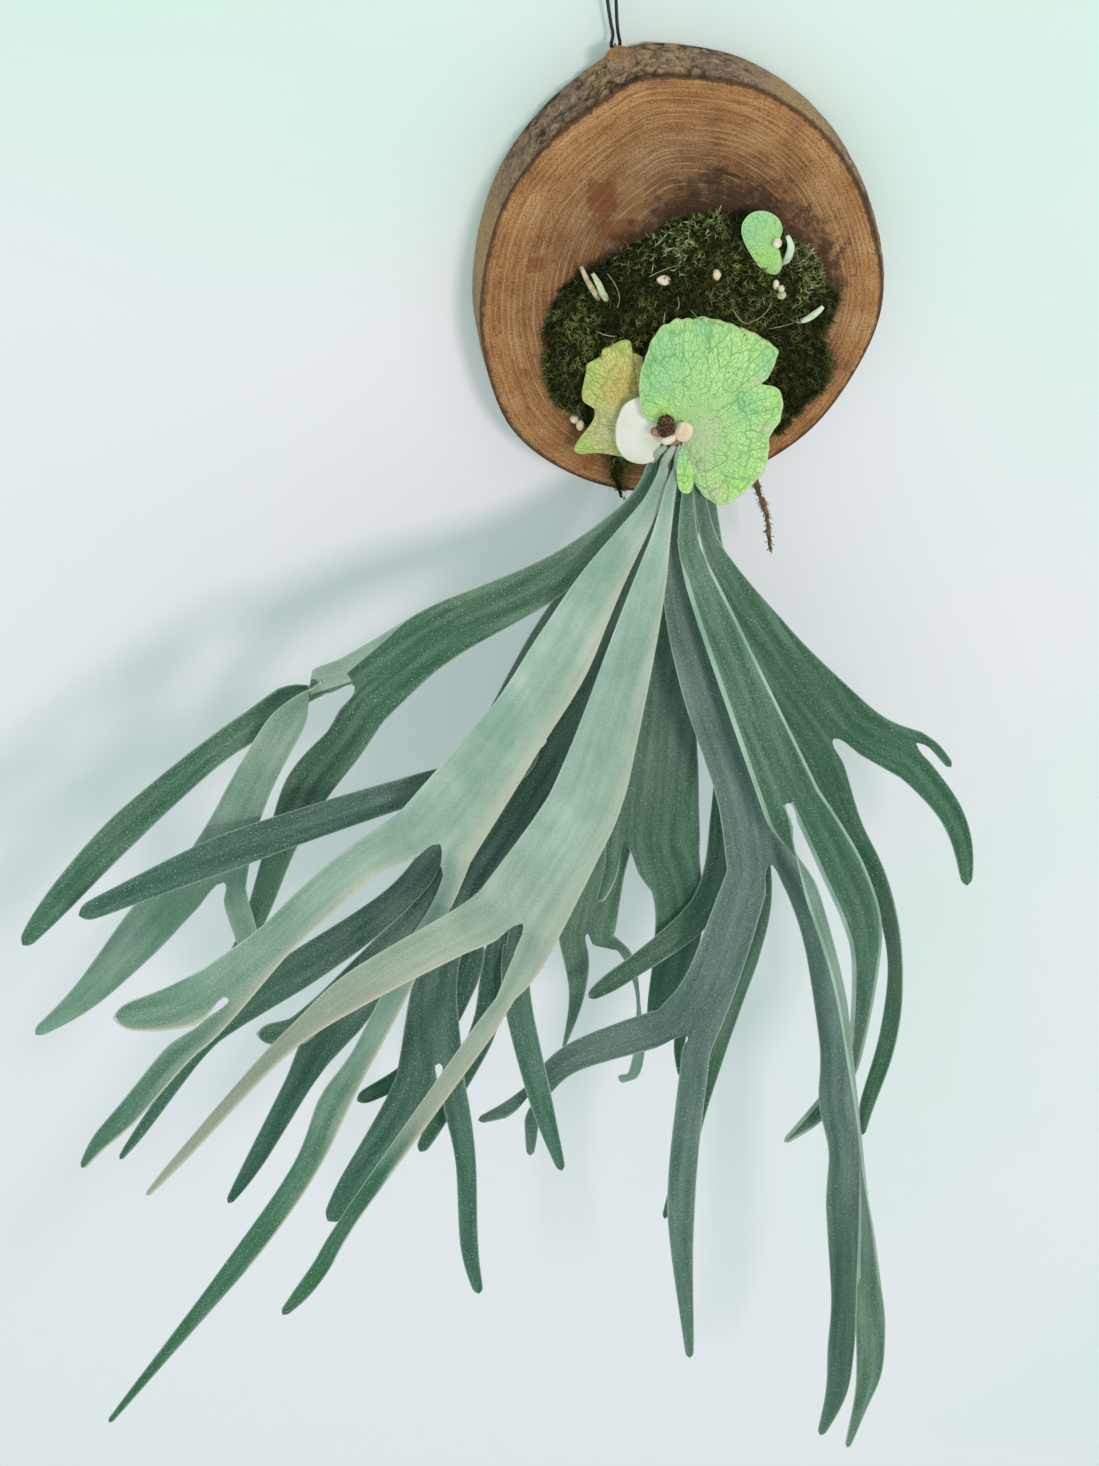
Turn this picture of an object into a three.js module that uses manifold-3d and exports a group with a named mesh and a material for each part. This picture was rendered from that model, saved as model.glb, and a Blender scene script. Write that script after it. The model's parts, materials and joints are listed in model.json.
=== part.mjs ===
// A staghorn fern grown on a slice of tree trunk and hung on a wall by a wire loop.
// Millimetres. The origin is the centre of the flat back of the slice, +Z is up and
// the fern faces -Y. Places on the fern are given as [x, out, z], where out is the
// distance from the wall, so y = -out.
import * as THREE from 'three';
import { mergeVertices } from 'three/addons/utils/BufferGeometryUtils.js';
import Module from 'manifold-3d';

const wasm = await Module();
wasm.setup();

// ---------------------------------------------------------------- driving dimensions
const GAP = 0.3;                  // clearance kept between pieces that touch
const SLAB_DEPTH = 40;            // thickness of the wood slice
const SLAB_STEPS = 4;             // outline steps between two of its points
const BARK_ROUGH = 0.15;          // how far its thickness wanders, as a share
const STUB_RADIUS = 7.5;          // cut branch stub in the bark
const STUB_LENGTH = 16;

const MOSS_DEPTH = 15;            // thickness of the moss pad
const MOSS_RIM = 1.5;             // its thickness at the very edge
const MOUND_HEIGHT = 18;          // extra height of the root mound behind the shields
const MOUND = { x: 3, z: -38, wide: 30, high: 22 };
const MOSS_LUMP = 0.9;            // height of the lumps in the moss
const MOSS_SPOKES = 40;

const CROWN_FOOT = -79;           // level of the flat underside of the crown
const STALK_TOP = CROWN_FOOT - GAP;

const STALK_THICKNESS = 3.0;      // a frond is thickest at its stalk
const BLADE_THICKNESS = 1.1;      // and thinnest across its wide parts
const MARGIN_THICKNESS = 0.7;
const THINNING = 0.1;             // thickness lost per mm of width over the stalk's
const STALK_WIDTH = 5;
const CUP = 0.05;                 // how far the margins curl, as a share of the width
const RIPPLE = 1.2;               // height of the waves along the margins
const RIPPLE_LENGTH = 95;
const BLADE_STEP = 26;            // distance between cross-sections
const NOTCH_RADIUS = 4.5;         // rounding of the notch between two lobes
const FORK_STEPS = [0.14, 0.45, 1];
const TIP_STEPS = [0, 0.75, 1];

const SHIELD_THICKNESS = 1.3;
const SHIELD_RINGS = [0.2, 0.45, 0.72, 0.93, 1];

const WIRE_RADIUS = 1;
const WIRE_SIDES = 8;
const WIRE_STEPS = 44;            // steps along the hanging wire
const STAPLE_STEPS = 24;
const STAPLE_RADIUS = 0.7;
const STAPLE = { x: -43.2, y: -8, halfSpan: 3.2, bridge: 131.8, foot: 109 };

// ---------------------------------------------------------------- small helpers
const place = ([x, out, z]) => new THREE.Vector3(x, -out, z);
const clamp = (value, low, high) => Math.min(high, Math.max(low, value));
const mix = (a, b, t) => a + (b - a) * t;

// Smooth, repeatable unevenness between -1 and 1.
const uneven = (x, z) => 0.5 * Math.sin(0.31 * x + 1.7 * Math.sin(0.17 * z))
  + 0.3 * Math.sin(0.43 * z + 1.3 * Math.sin(0.23 * x) + 2)
  + 0.2 * Math.sin(0.9 * x + 0.7 * z);

// Turns lists of vertices and triangles into a geometry whose faces point out.
function closedGeometry(vertices, triangles) {
  let volume = 0;
  for (const [a, b, c] of triangles) {
    volume += vertices[a].dot(vertices[b].clone().cross(vertices[c]));
  }
  const index = triangles.flatMap(([a, b, c]) => (volume > 0 ? [a, b, c] : [a, c, b]));
  const geometry = new THREE.BufferGeometry();
  geometry.setAttribute('position', new THREE.Float32BufferAttribute(
    vertices.flatMap((v) => v.toArray()), 3));
  geometry.setIndex(index);
  return geometry;
}

// A closed body made of rings of equal length, with a fan to a centre at each end.
function ringBody(rings, firstCentre, lastCentre) {
  const count = rings[0].length;
  const vertices = [firstCentre, ...rings.flat(), lastCentre];
  const at = (ring, step) => 1 + ring * count + (step % count);
  const triangles = [];
  for (let step = 0; step < count; step += 1) {
    triangles.push([0, at(0, step + 1), at(0, step)]);
    for (let ring = 0; ring + 1 < rings.length; ring += 1) {
      triangles.push([at(ring, step), at(ring, step + 1), at(ring + 1, step + 1)]);
      triangles.push([at(ring, step), at(ring + 1, step + 1), at(ring + 1, step)]);
    }
    const last = rings.length - 1;
    triangles.push([vertices.length - 1, at(last, step), at(last, step + 1)]);
  }
  return closedGeometry(vertices, triangles);
}

// Points evenly spread along each stretch of a smooth curve through the given places.
function smoothLine(points, steps, closed) {
  const curve = new THREE.CatmullRomCurve3(points, closed, 'catmullrom', 0.5);
  const spans = closed ? points.length : points.length - 1;
  const line = [];
  for (let i = 0; i < spans * steps + (closed ? 0 : 1); i += 1) {
    line.push(curve.getPoint(i / (spans * steps)));
  }
  return line;
}

function toSolid(geometry) {
  const bare = geometry.clone();
  bare.deleteAttribute('normal');
  bare.deleteAttribute('uv');
  const merged = mergeVertices(bare, 1e-4);
  return new wasm.Manifold(new wasm.Mesh({
    numProp: 3,
    vertProperties: new Float32Array(merged.attributes.position.array),
    triVerts: new Uint32Array(merged.index.array),
  }));
}

function toGeometry(solid) {
  const mesh = solid.getMesh();
  const geometry = new THREE.BufferGeometry();
  geometry.setAttribute('position', new THREE.BufferAttribute(mesh.vertProperties, 3));
  geometry.setIndex(new THREE.BufferAttribute(mesh.triVerts, 1));
  return geometry;
}

const joined = (...geometries) => geometries.map(toSolid).reduce((all, one) => all.add(one));

// An egg-shaped lump.
function lump([x, out, z], [rx, ry, rz], around = 9, down = 6) {
  const geometry = new THREE.SphereGeometry(1, around, down);
  geometry.scale(rx, ry, rz);
  geometry.translate(x, -out, z);
  return geometry;
}

// A round rod along a smooth route, tapering from one radius to the other.
function taperedRod(points, startRadius, endRadius, steps = 3, sides = 6) {
  const route = smoothLine(points.map(place), steps, false);
  const rings = route.map((centre, i) => {
    const ahead = route[Math.min(i + 1, route.length - 1)].clone()
      .sub(route[Math.max(i - 1, 0)]).normalize();
    const across = new THREE.Vector3(0.3, 1, 0.2).cross(ahead).normalize();
    const up = ahead.clone().cross(across);
    const radius = mix(startRadius, endRadius, i / (route.length - 1));
    return Array.from({ length: sides }, (_, k) => {
      const turn = (2 * Math.PI * k) / sides;
      return centre.clone().addScaledVector(across, radius * Math.cos(turn))
        .addScaledVector(up, radius * Math.sin(turn));
    });
  });
  return ringBody(rings, route[0].clone(), route[route.length - 1].clone());
}

// ---------------------------------------------------------------- wood slice
// Outline of the sawn face and the bark's thickness there, as [x, z, bark], clockwise from
// the top. The bark is thick over the top and nearly gone at the foot.
const SLAB_OUTLINE = [
  [-7, 124, 5], [32, 115, 2.6], [69, 88, 2.8], [94, 49, 4.2], [109, -3, 3], [104, -45, 1.2],
  [74, -96, 1.6], [28, -126, 1.2], [-23, -133, 1.2], [-68, -119, 1.2], [-105, -86, 1.4],
  [-122, -33, 0.9], [-121, 14, 0.7], [-108, 58, 0.8], [-82, 92, 3.2], [-53, 114, 5.2],
  [-34, 124, 5],
];
// Profile of the bark edge: share of the bark's width at each distance from the wall.
const BARK_PROFILE = [[0, 40], [0.35, 39], [0.85, 35], [1.1, 21], [1, 4], [0.8, 0]];

function slabGeometry() {
  const line = smoothLine(SLAB_OUTLINE.map(([x, z, bark]) => place([x, -bark, z])),
    SLAB_STEPS, true);
  const outward = line.map((point, i) => {
    const along = line[(i + 1) % line.length].clone()
      .sub(line[(i + line.length - 1) % line.length]);
    return new THREE.Vector3(-along.z, 0, along.x).normalize();
  });
  const rings = BARK_PROFILE.map(([share, out]) => line.map((point, i) => {
    const bark = point.y * (1 + BARK_ROUGH * uneven(point.x * 0.6 + out, point.z * 0.6));
    return point.clone().addScaledVector(outward[i], share * bark).setY(-out);
  }));
  return ringBody(rings, place([0, SLAB_DEPTH, 0]), place([0, 0, 0]));
}

function branchStub() {
  const profile = [[0, -STUB_LENGTH], [STUB_RADIUS * 1.25, -STUB_LENGTH],
    [STUB_RADIUS, -3], [STUB_RADIUS - 1.2, 0], [0, 0]];
  const stub = new THREE.LatheGeometry(profile.map(([r, y]) => new THREE.Vector2(r, y)), 14);
  stub.scale(1, 1, 0.75);
  const axis = new THREE.Vector3(-0.35, -0.5, 0.8).normalize();
  stub.applyQuaternion(new THREE.Quaternion().setFromUnitVectors(
    new THREE.Vector3(0, 1, 0), axis));
  stub.translate(-43.9, -26, 133);
  return stub;
}

const stapleLegs = [-1, 1].map((side) => ({ y: STAPLE.y + side * STAPLE.halfSpan }));

function stapleHole({ y }) {
  const hole = new THREE.CylinderGeometry(STAPLE_RADIUS + GAP, STAPLE_RADIUS + GAP, 40, 12);
  hole.rotateX(Math.PI / 2);
  hole.translate(STAPLE.x, y, STAPLE.foot - GAP + 20);
  return hole;
}

function woodSlab() {
  let slab = toSolid(slabGeometry()).add(toSolid(branchStub()));
  for (const leg of stapleLegs) {
    slab = slab.subtract(toSolid(stapleHole(leg)));
  }
  return toGeometry(slab);
}

// ---------------------------------------------------------------- hanging wire and staple
const WIRE_ROUTE = [
  [-42.8, -8, 129.8], [-41.3, -8, 130.7], [-40.8, -8, 133.2], [-41.6, -8, 137.2],
  [-42.6, -8, 145], [-43.3, -8, 157], [-44, -8, 166], [-46.4, -8, 171], [-49, -8, 166.5],
  [-48, -8, 157], [-46.1, -8, 145], [-44.8, -8, 137.2], [-45.6, -8, 133.2],
  [-45.1, -8, 130.7], [-43.6, -8, 129.8],
];

function wireAlong(route, radius, steps) {
  const section = new THREE.Shape(Array.from({ length: WIRE_SIDES }, (_, k) => {
    const turn = (2 * Math.PI * k) / WIRE_SIDES;
    return new THREE.Vector2(radius * Math.cos(turn), radius * Math.sin(turn));
  }));
  return new THREE.ExtrudeGeometry(section, { steps, extrudePath: route });
}

function stapleGeometry() {
  const [back, front] = [stapleLegs[1].y, stapleLegs[0].y];
  const { x, foot, bridge } = STAPLE;
  const route = new THREE.CurvePath();
  const corners = [
    [x, front, foot], [x, front, bridge - 1.5], [x, front, bridge],
    [x, front + 1.5, bridge], [x, back - 1.5, bridge],
    [x, back, bridge], [x, back, bridge - 1.5], [x, back, foot],
  ].map((p) => new THREE.Vector3(...p));
  route.add(new THREE.LineCurve3(corners[0], corners[1]));
  route.add(new THREE.QuadraticBezierCurve3(corners[1], corners[2], corners[3]));
  route.add(new THREE.LineCurve3(corners[3], corners[4]));
  route.add(new THREE.QuadraticBezierCurve3(corners[4], corners[5], corners[6]));
  route.add(new THREE.LineCurve3(corners[6], corners[7]));
  return wireAlong(route, STAPLE_RADIUS, STAPLE_STEPS);
}

// ---------------------------------------------------------------- crown
// Outline of the crown's flat underside, as [x, out].
const CROWN_OUTLINE = [
  [-33, 80], [-32, 87], [-28, 90.5], [-26.5, 96], [-21, 99.5], [-16, 101], [-12, 96],
  [-7, 91], [-1, 87], [5, 78], [6, 71], [0, 66], [-12, 64.5], [-25, 68],
];
// Levels of the crown: [z, size as a share of the outline, forward shift of the middle].
const CROWN_LEVELS = [[CROWN_FOOT, 1, 0], [-74, 1, 0], [-67, 0.93, 1], [-60, 0.76, 1.5],
  [-53, 0.5, 0], [-49, 0.25, -3]];
const CROWN_MIDDLE = [-14, 82];

function crownSolid(extra) {
  const [midX, midOut] = CROWN_MIDDLE;
  const outline = smoothLine(CROWN_OUTLINE.map(([x, out]) => place([x, out, 0])), 2, true);
  const levels = CROWN_LEVELS.map(([z, share, shift], i) => outline.map((point) => {
    const fromMiddle = point.clone().sub(place([midX, midOut, 0]));
    const grown = fromMiddle.length() * share + extra;
    return place([midX, midOut + shift, 0]).addScaledVector(fromMiddle.normalize(), grown)
      .setZ(i === 0 ? z - extra : z + extra * 0.5);
  }));
  const [topZ, , topShift] = CROWN_LEVELS[CROWN_LEVELS.length - 1];
  return toSolid(ringBody(levels, place([midX, midOut, CROWN_FOOT - extra]),
    place([midX, midOut + topShift, topZ + 1.5 + extra])));
}

// ---------------------------------------------------------------- moss
// Outline of the moss where it meets the wood, as [x, z], clockwise from the top.
const MOSS_OUTLINE = [
  [2, 45], [39, 38], [63, 16], [81, -10], [76, -35], [81, -59], [65, -80], [51, -96],
  [27, -103], [-6, -105], [-41, -99], [-61, -83], [-82, -62], [-86, -32], [-77, 1],
  [-54, 18], [-30, 30],
];
const MOSS_CENTRE = [-2, -32];
const MOSS_RINGS = [1, 0.96, 0.87, 0.73, 0.55, 0.34, 0.15];

// Distance of the moss surface from the wall at a share of the way out to its edge.
function mossOut(x, z, share) {
  const { x: midX, z: midZ, wide, high } = MOUND;
  const mound = MOUND_HEIGHT * Math.exp(-(((x - midX) / wide) ** 2) - ((z - midZ) / high) ** 2);
  const edge = Math.sqrt(Math.max(0, 1 - share ** 4));
  const lumps = MOSS_LUMP * uneven(x * 0.8, z * 0.8);
  return SLAB_DEPTH + GAP + MOSS_RIM + edge * (MOSS_DEPTH + mound + lumps);
}

function mossPad(extra) {
  const [midX, midZ] = MOSS_CENTRE;
  const line = smoothLine(MOSS_OUTLINE.map(([x, z]) => place([x, 0, z])), 12, true);
  const outline = Array.from({ length: MOSS_SPOKES }, (_, i) => (
    line[Math.round((i * line.length) / MOSS_SPOKES)]));
  const rim = outline.map((p) => place([
    mix(midX, p.x, 0.985), SLAB_DEPTH + GAP, mix(midZ, p.z, 0.985)]));
  const rings = MOSS_RINGS.map((share) => outline.map((p) => {
    const x = mix(midX, p.x, share);
    const z = mix(midZ, p.z, share);
    return place([x, mossOut(x, z, share) + extra, z]);
  }));
  return ringBody([rim, ...rings], place([midX, SLAB_DEPTH + GAP, midZ]),
    place([midX, mossOut(midX, midZ, 0) + extra, midZ]));
}

const ROOT_STRAND = [[30, 46, -88], [33, 53, -100], [36, 59, -112], [38, 61, -124], [42, 62, -134],
  [45, 62, -145], [46, 62, -155], [48, 62, -167]];
const MOSS_TUFTS = [
  [[-38, 46, -84], [-42, 50, -97], [-45, 51, -114], [-42, 50, -130]],
  [[-44, 46, -84], [-46, 49, -98], [-48, 50, -116]],
];

function mossGeometry() {
  const strands = [taperedRod(ROOT_STRAND, 2.2, 0.9), taperedRod(MOSS_TUFTS[0], 4, 0.8),
    taperedRod(MOSS_TUFTS[1], 3, 0.8)];
  const pad = joined(mossPad(0), ...strands).subtract(crownSolid(GAP));
  return toGeometry(pad);
}

// ---------------------------------------------------------------- shield fronds
// A thin sheet that spreads from one corner (apex) to a rim. It bulges along facing.
function shieldGeometry({ apex, rim, facing, bulge, wave = 0, steps = 2 }) {
  const corner = place(apex);
  const edge = smoothLine(rim.map(place), steps, false);
  const front = new THREE.Vector3(facing[0], -facing[1], facing[2]).normalize();
  const vertices = [];
  const rows = [0, ...SHIELD_RINGS].map((share, row) => {
    const thickness = SHIELD_THICKNESS * (share > 0.9 ? 0.7 : 1);
    const places = row === 0 ? [corner] : edge;
    return places.map((point, k) => {
      const lift = bulge * 4 * share * (1 - share)
        + wave * share ** 3 * Math.sin(1.9 * k + 0.6);
      const middle = corner.clone().lerp(point, share).addScaledVector(front, lift);
      vertices.push(middle.clone().addScaledVector(front, thickness / 2));
      vertices.push(middle.clone().addScaledVector(front, -thickness / 2));
      return [vertices.length - 2, vertices.length - 1];
    });
  });
  const triangles = [];
  const quad = (a, b, c, d) => triangles.push([a, b, c], [a, c, d]);
  for (let k = 0; k + 1 < edge.length; k += 1) {
    const [topCorner, underCorner] = rows[0][0];
    triangles.push([topCorner, rows[1][k][0], rows[1][k + 1][0]]);
    triangles.push([underCorner, rows[1][k + 1][1], rows[1][k][1]]);
    for (let row = 1; row + 1 < rows.length; row += 1) {
      const [a, b] = [rows[row], rows[row + 1]];
      quad(a[k][0], b[k][0], b[k + 1][0], a[k + 1][0]);
      triangles.push([a[k][1], b[k + 1][1], b[k][1]], [a[k][1], a[k + 1][1], b[k + 1][1]]);
    }
    const outer = rows[rows.length - 1];
    quad(outer[k][0], outer[k][1], outer[k + 1][1], outer[k + 1][0]);
  }
  for (const [end, turned] of [[0, false], [edge.length - 1, true]]) {
    for (let row = 0; row + 1 < rows.length; row += 1) {
      const a = row === 0 ? rows[0][0] : rows[row][end];
      const b = rows[row + 1][end];
      if (turned) quad(a[0], b[0], b[1], a[1]);
      else quad(a[0], a[1], b[1], b[0]);
    }
  }
  return closedGeometry(vertices, triangles);
}

const MAIN_SHIELD = {
  apex: [-16, 97, -53],
  facing: [0, 0.95, 0.3],
  bulge: 2.5,
  rim: [[-29, 97.5, -55], [-36, 95, -53], [-38, 88, -46], [-37, 80, -34], [-32, 73, -23],
    [-28, 69, -17], [-22, 66, -11], [-12, 64, -9], [3, 63, -9], [20, 63, -15], [35, 63, -23],
    [44, 63, -31], [44, 65, -35], [39, 70, -44], [35, 73, -48], [43, 72, -51], [47, 74, -58],
    [45, 78, -69], [39, 82, -76], [38, 84, -85], [36, 86, -97], [28, 88, -105],
    [19, 91, -111], [11, 93, -114], [2, 94, -109], [-4, 95.5, -101], [-8, 97.5, -91],
    [-9, 99.5, -79]],
};
const LEFT_SHIELD = {
  apex: [-33.8, 77, -76],
  facing: [0, 0.95, 0.3],
  bulge: 0.8,
  rim: [[-33, 64, -31], [-40, 60.5, -28], [-40, 59.5, -23], [-44, 59, -22],
    [-55, 58.5, -27], [-57, 58.5, -32], [-64, 58.5, -36], [-65, 58.5, -42],
    [-67, 58, -54], [-66, 58, -60], [-60, 59, -64], [-61, 59, -73], [-70, 58, -87],
    [-70, 59, -93], [-57, 62, -92], [-43, 67, -93]],
};
const YOUNG_SHIELD = {
  apex: [-25, 96.8, -64],
  facing: [-0.25, 0.92, 0.3],
  bulge: 1.5,
  rim: [[-30, 92, -83], [-36, 87, -87], [-44, 83, -86], [-49, 79, -80], [-50, 77, -71],
    [-49, 77, -63], [-45, 78, -53], [-37, 80, -48], [-31, 81, -49]],
};
const SHIELD_FLAP = {
  apex: [-15, 103, -64.8],
  facing: [0, 0.98, 0.1],
  bulge: 1,
  rim: [[-18, 104.8, -71], [-19, 106, -83], [-17, 106, -95], [-11, 104.5, -98],
    [-9, 104, -90], [-11, 103, -80]],
};
const PUP_SHIELD = {
  apex: [40, 57, 31],
  facing: [0, 0.9, 0.44],
  bulge: 1.5,
  rim: [[42, 56.5, 43], [39, 56, 49], [34, 56, 51], [26, 56, 45], [22, 56, 38], [24, 56, 30],
    [28, 56, 22], [36, 55.5, 16], [42, 55.5, 14], [46, 56.5, 19], [46, 57, 26]],
};

// ---------------------------------------------------------------- forked fronds
// A blade is a chain of stations [x, out, z, width, twist in degrees], from its stalk
// to its tip, and it may fork at the end of the chain into lobes, listed left to right.
const blade = (stations, ...lobes) => ({ stations, lobes });

const FROND_LEFT_HIGH = blade([
  [-29, 84, STALK_TOP, 4], [-29, 84, -86, 5], [-40, 92, -111, 10], [-90, 120, -138, 23],
  [-157, 152, -150, 32.5], [-184, 166, -160, 35.5], [-207, 182, -167, 42.5],
],
  blade([
    [-229, 190, -153, 16],
  ],
    blade([
      [-237, 202, -157, 17.5, 110], [-248, 206, -167, 20, 175], [-268, 210, -200, 22, 180],
      [-284, 213, -234, 27, 180], [-296, 214, -264, 38, 180],
    ],
      blade([
        [-284, 212, -291, 14.5, 180], [-281, 206, -314, 14, 180], [-280, 198, -342, 9.5, 180],
      ]),
      blade([
        [-317, 214, -274, 28.5, 180], [-339, 215, -300, 28, 180], [-376, 217, -343, 16.5, 170],
        [-406, 220, -365, 6, 165],
      ]),
    ),
    blade([
      [-249, 186, -167, 15.5], [-264, 190, -177, 17], [-292, 194, -194, 15.5],
      [-346, 206, -236, 20], [-386, 218, -274, 15.5], [-405, 224, -295, 7.5],
    ]),
  ),
  blade([
    [-218, 184, -201, 23.5], [-239, 184, -227, 27], [-256, 182, -267, 18], [-277, 176, -332, 12],
    [-293, 172, -364, 6.5],
  ]),
);
const FROND_FRONT_LEFT = blade([
  [-24, 94, STALK_TOP, 4], [-24, 94, -86, 5], [-32, 105, -102, 9], [-67, 138, -135, 25.5],
  [-94, 170, -163, 35.5], [-121, 196, -188, 35], [-173, 248, -223, 48],
],
  blade([
    [-208, 270, -214, 21], [-237, 292, -222, 22], [-263, 312, -234, 19.5], [-293, 328, -252, 29.5],
  ],
    blade([[-312, 338, -251, 25], [-329, 344, -250, 19.5], [-348, 350, -246, 13]]),
    blade([
      [-306, 330, -282, 12], [-317, 328, -291, 14.5], [-351, 320, -342, 13],
      [-368, 316, -364, 9.5], [-379, 312, -385, 4],
    ]),
  ),
  blade([
    [-164, 252, -251, 14.5, 45], [-173, 254, -273, 15.5, 50], [-187, 256, -298, 17, 35],
    [-199, 258, -325, 14.5, 20], [-221, 262, -370, 13.5, 20], [-238, 264, -399, 19],
    [-254, 270, -437, 14.5], [-294, 280, -496, 14], [-387, 292, -620, 3.5],
  ]),
);
const FROND_FRONT_CENTRE = blade([
  [-17, 98, STALK_TOP, 4], [-17, 98, -86, 5], [-21, 102, -90, 5.5], [-29, 121, -113, 9.5],
  [-46, 155, -149, 23], [-81, 214, -220, 40], [-99, 236, -240, 42.5], [-129, 258, -276, 52],
],
  blade([
    [-165, 276, -269, 24], [-195, 290, -274, 22], [-226, 300, -285, 20], [-248, 306, -299, 13, 20],
    [-271, 310, -319, 10.5, 30], [-322, 316, -378, 7, 30], [-345, 318, -405, 3],
  ]),
  blade([
    [-123, 264, -302, 18], [-136, 268, -324, 13], [-147, 272, -340, 12, 15],
    [-233, 288, -469, 10, 25], [-250, 290, -502, 10.5], [-264, 292, -523, 10],
    [-276, 294, -537, 5],
  ]),
);
const FROND_LEFT_LOW = blade([
  [-21.5, 87, STALK_TOP, 4], [-21.5, 87, -86, 5], [-32, 101, -123, 10.5], [-63, 130, -175, 23],
  [-101, 162, -222, 34.5],
],
  blade([
    [-126, 178, -230, 22], [-187, 211, -218, 16.5], [-287, 234, -233, 21], [-370, 243, -262, 10],
  ]),
  blade([
    [-110, 172, -248, 23], [-130, 182, -277, 21], [-149, 190, -305, 13, 15], [-171, 200, -361, 25],
    [-177, 214, -418, 38.5],
  ],
    blade([[-191, 220, -441, 26.5], [-230, 234, -500, 20], [-245, 238, -519, 9]]),
    blade([
      [-162, 214, -459, 16], [-158, 220, -495, 12.5], [-158, 230, -562, 11.5],
      [-153, 234, -599, 6.5],
    ]),
  ),
);
const FROND_UNDER_LEFT = blade([
  [-27.5, 76, STALK_TOP, 4], [-27.5, 76, -86, 5], [-28, 79, -110, 7], [-39, 83, -137, 11.5],
  [-68, 94, -165, 23], [-92, 111, -192, 27.5], [-141, 154, -261, 29.5], [-161, 168, -296, 27.5],
],
  blade([
    [-188, 176, -318, 16.5], [-218, 184, -338, 20.5], [-253, 194, -355, 23], [-298, 204, -382, 15],
    [-315, 206, -401, 9.5], [-355, 210, -459, 7], [-368, 212, -477, 3.5],
  ]),
  blade([
    [-168, 172, -314, 11, 20], [-183, 182, -337, 21], [-228, 204, -379, 32.5],
  ],
    blade([[-255, 210, -388, 18], [-268, 214, -385, 13.5], [-279, 218, -381, 12]]),
    blade([
      [-243, 208, -402, 24.5], [-254, 212, -421, 16.5], [-288, 220, -483, 11],
      [-305, 224, -510, 4.5],
    ]),
  ),
);
const FROND_UNDER_CENTRE = blade([
  [-18, 75, STALK_TOP, 4], [-18, 75, -86, 5], [-19, 79, -117, 8], [-32, 94, -168, 17.5],
  [-60, 121, -226, 28.5], [-120, 164, -323, 39.5],
],
  blade([
    [-138, 174, -353, 26.5],
  ],
    blade([[-152, 182, -381, 15.5], [-182, 192, -437, 13.5], [-222, 198, -459, 8.5]]),
    blade([
      [-136, 178, -392, 16], [-143, 182, -428, 16], [-174, 198, -482, 11], [-185, 202, -502, 7],
    ]),
  ),
  blade([
    [-121, 181, -363, 17.5], [-123, 198, -387, 17], [-112, 224, -446, 14.5],
    [-100, 233, -498, 5.5],
  ]),
);
const FROND_BROAD = blade([
  [-6, 72, STALK_TOP, 4], [-6, 72, -86, 5], [0, 65, -124, 6], [-11, 79, -179, 18],
  [-26, 114, -286, 50], [-31, 130, -328, 59],
],
  blade([[-56, 134, -336, 8.5], [-58, 137, -348, 10, 20], [-65, 141, -363, 5, 30]]),
  blade([
    [-16, 136, -360, 31.5], [-15, 142, -392, 29.5], [-26, 152, -447, 19], [-30, 156, -472, 9],
  ]),
);
const FROND_THIN = blade([
  [-12.5, 69, STALK_TOP, 4], [-12.5, 69, -86, 5], [-7, 57, -144, 6], [-16, 66, -223, 16],
  [-36, 82, -316, 22.5], [-55, 96, -368, 26.5], [-69, 112, -413, 37],
],
  blade([[-75, 118, -439, 14], [-77, 122, -463, 8], [-85, 126, -494, 2.5]]),
  blade([
    [-46, 118, -420, 11.5, 50], [-38, 126, -446, 10.5, 75], [-36, 132, -502, 9, 150],
    [-41, 132, -522, 8.5, 170], [-49, 128, -522, 6, 180],
  ]),
);
const FROND_UNDER_RIGHT = blade([
  [2, 72, STALK_TOP, 4], [2, 72, -86, 5], [11, 81, -159, 10], [22, 116, -266, 28],
  [21, 136, -326, 37],
],
  blade([
    [6, 143, -356, 17.5], [-8, 149, -379, 18.5], [-45, 157, -404, 12.5], [-62, 160, -414, 12.5],
    [-74, 162, -422, 6],
  ]),
  blade([
    [30, 152, -362, 22], [21, 161, -398, 23.5],
  ],
    blade([[-9, 159, -444, 8], [-16, 161, -467, 7.5], [-14, 163, -493, 4]]),
    blade([
      [10, 168, -436, 21.5], [-7, 184, -500, 14], [-15, 190, -542, 11.5], [-27, 194, -588, 4],
    ]),
  ),
);
const FROND_RIGHT_LONG = blade([
  [-14, 81.5, STALK_TOP, 4], [-14, 81.5, -86, 5], [-15, 86, -110, 7], [-17, 107, -162, 16.5],
  [-3, 131, -214, 28.5], [18, 156, -272, 33.5], [29, 168, -323, 41.5],
],
  blade([
    [15, 176, -345, 28], [-4, 190, -398, 32], [-20, 195, -427, 41.5],
  ],
    blade([
      [-47, 198, -423, 22.5], [-93, 201, -437, 17.5], [-111, 201, -461, 14],
    ],
      blade([[-133, 202, -475, 9], [-148, 202, -480, 4.5]]),
      blade([[-115, 202, -485, 9], [-115, 202, -499, 7.5], [-116, 202, -513, 5]]),
    ),
    blade([[-13, 199, -459, 17.5], [-21, 217, -558, 18], [-13, 227, -686, 5.5]]),
  ),
  blade([
    [53, 172, -339, 17], [67, 176, -383, 18], [81, 184, -463, 20.5], [83, 188, -502, 24.5],
    [90, 192, -542, 20.5], [91, 196, -585, 23.5], [96, 202, -673, 17], [96, 205, -719, 18.5],
    [95, 208, -759, 15], [86, 210, -798, 5.5],
  ]),
);
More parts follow.
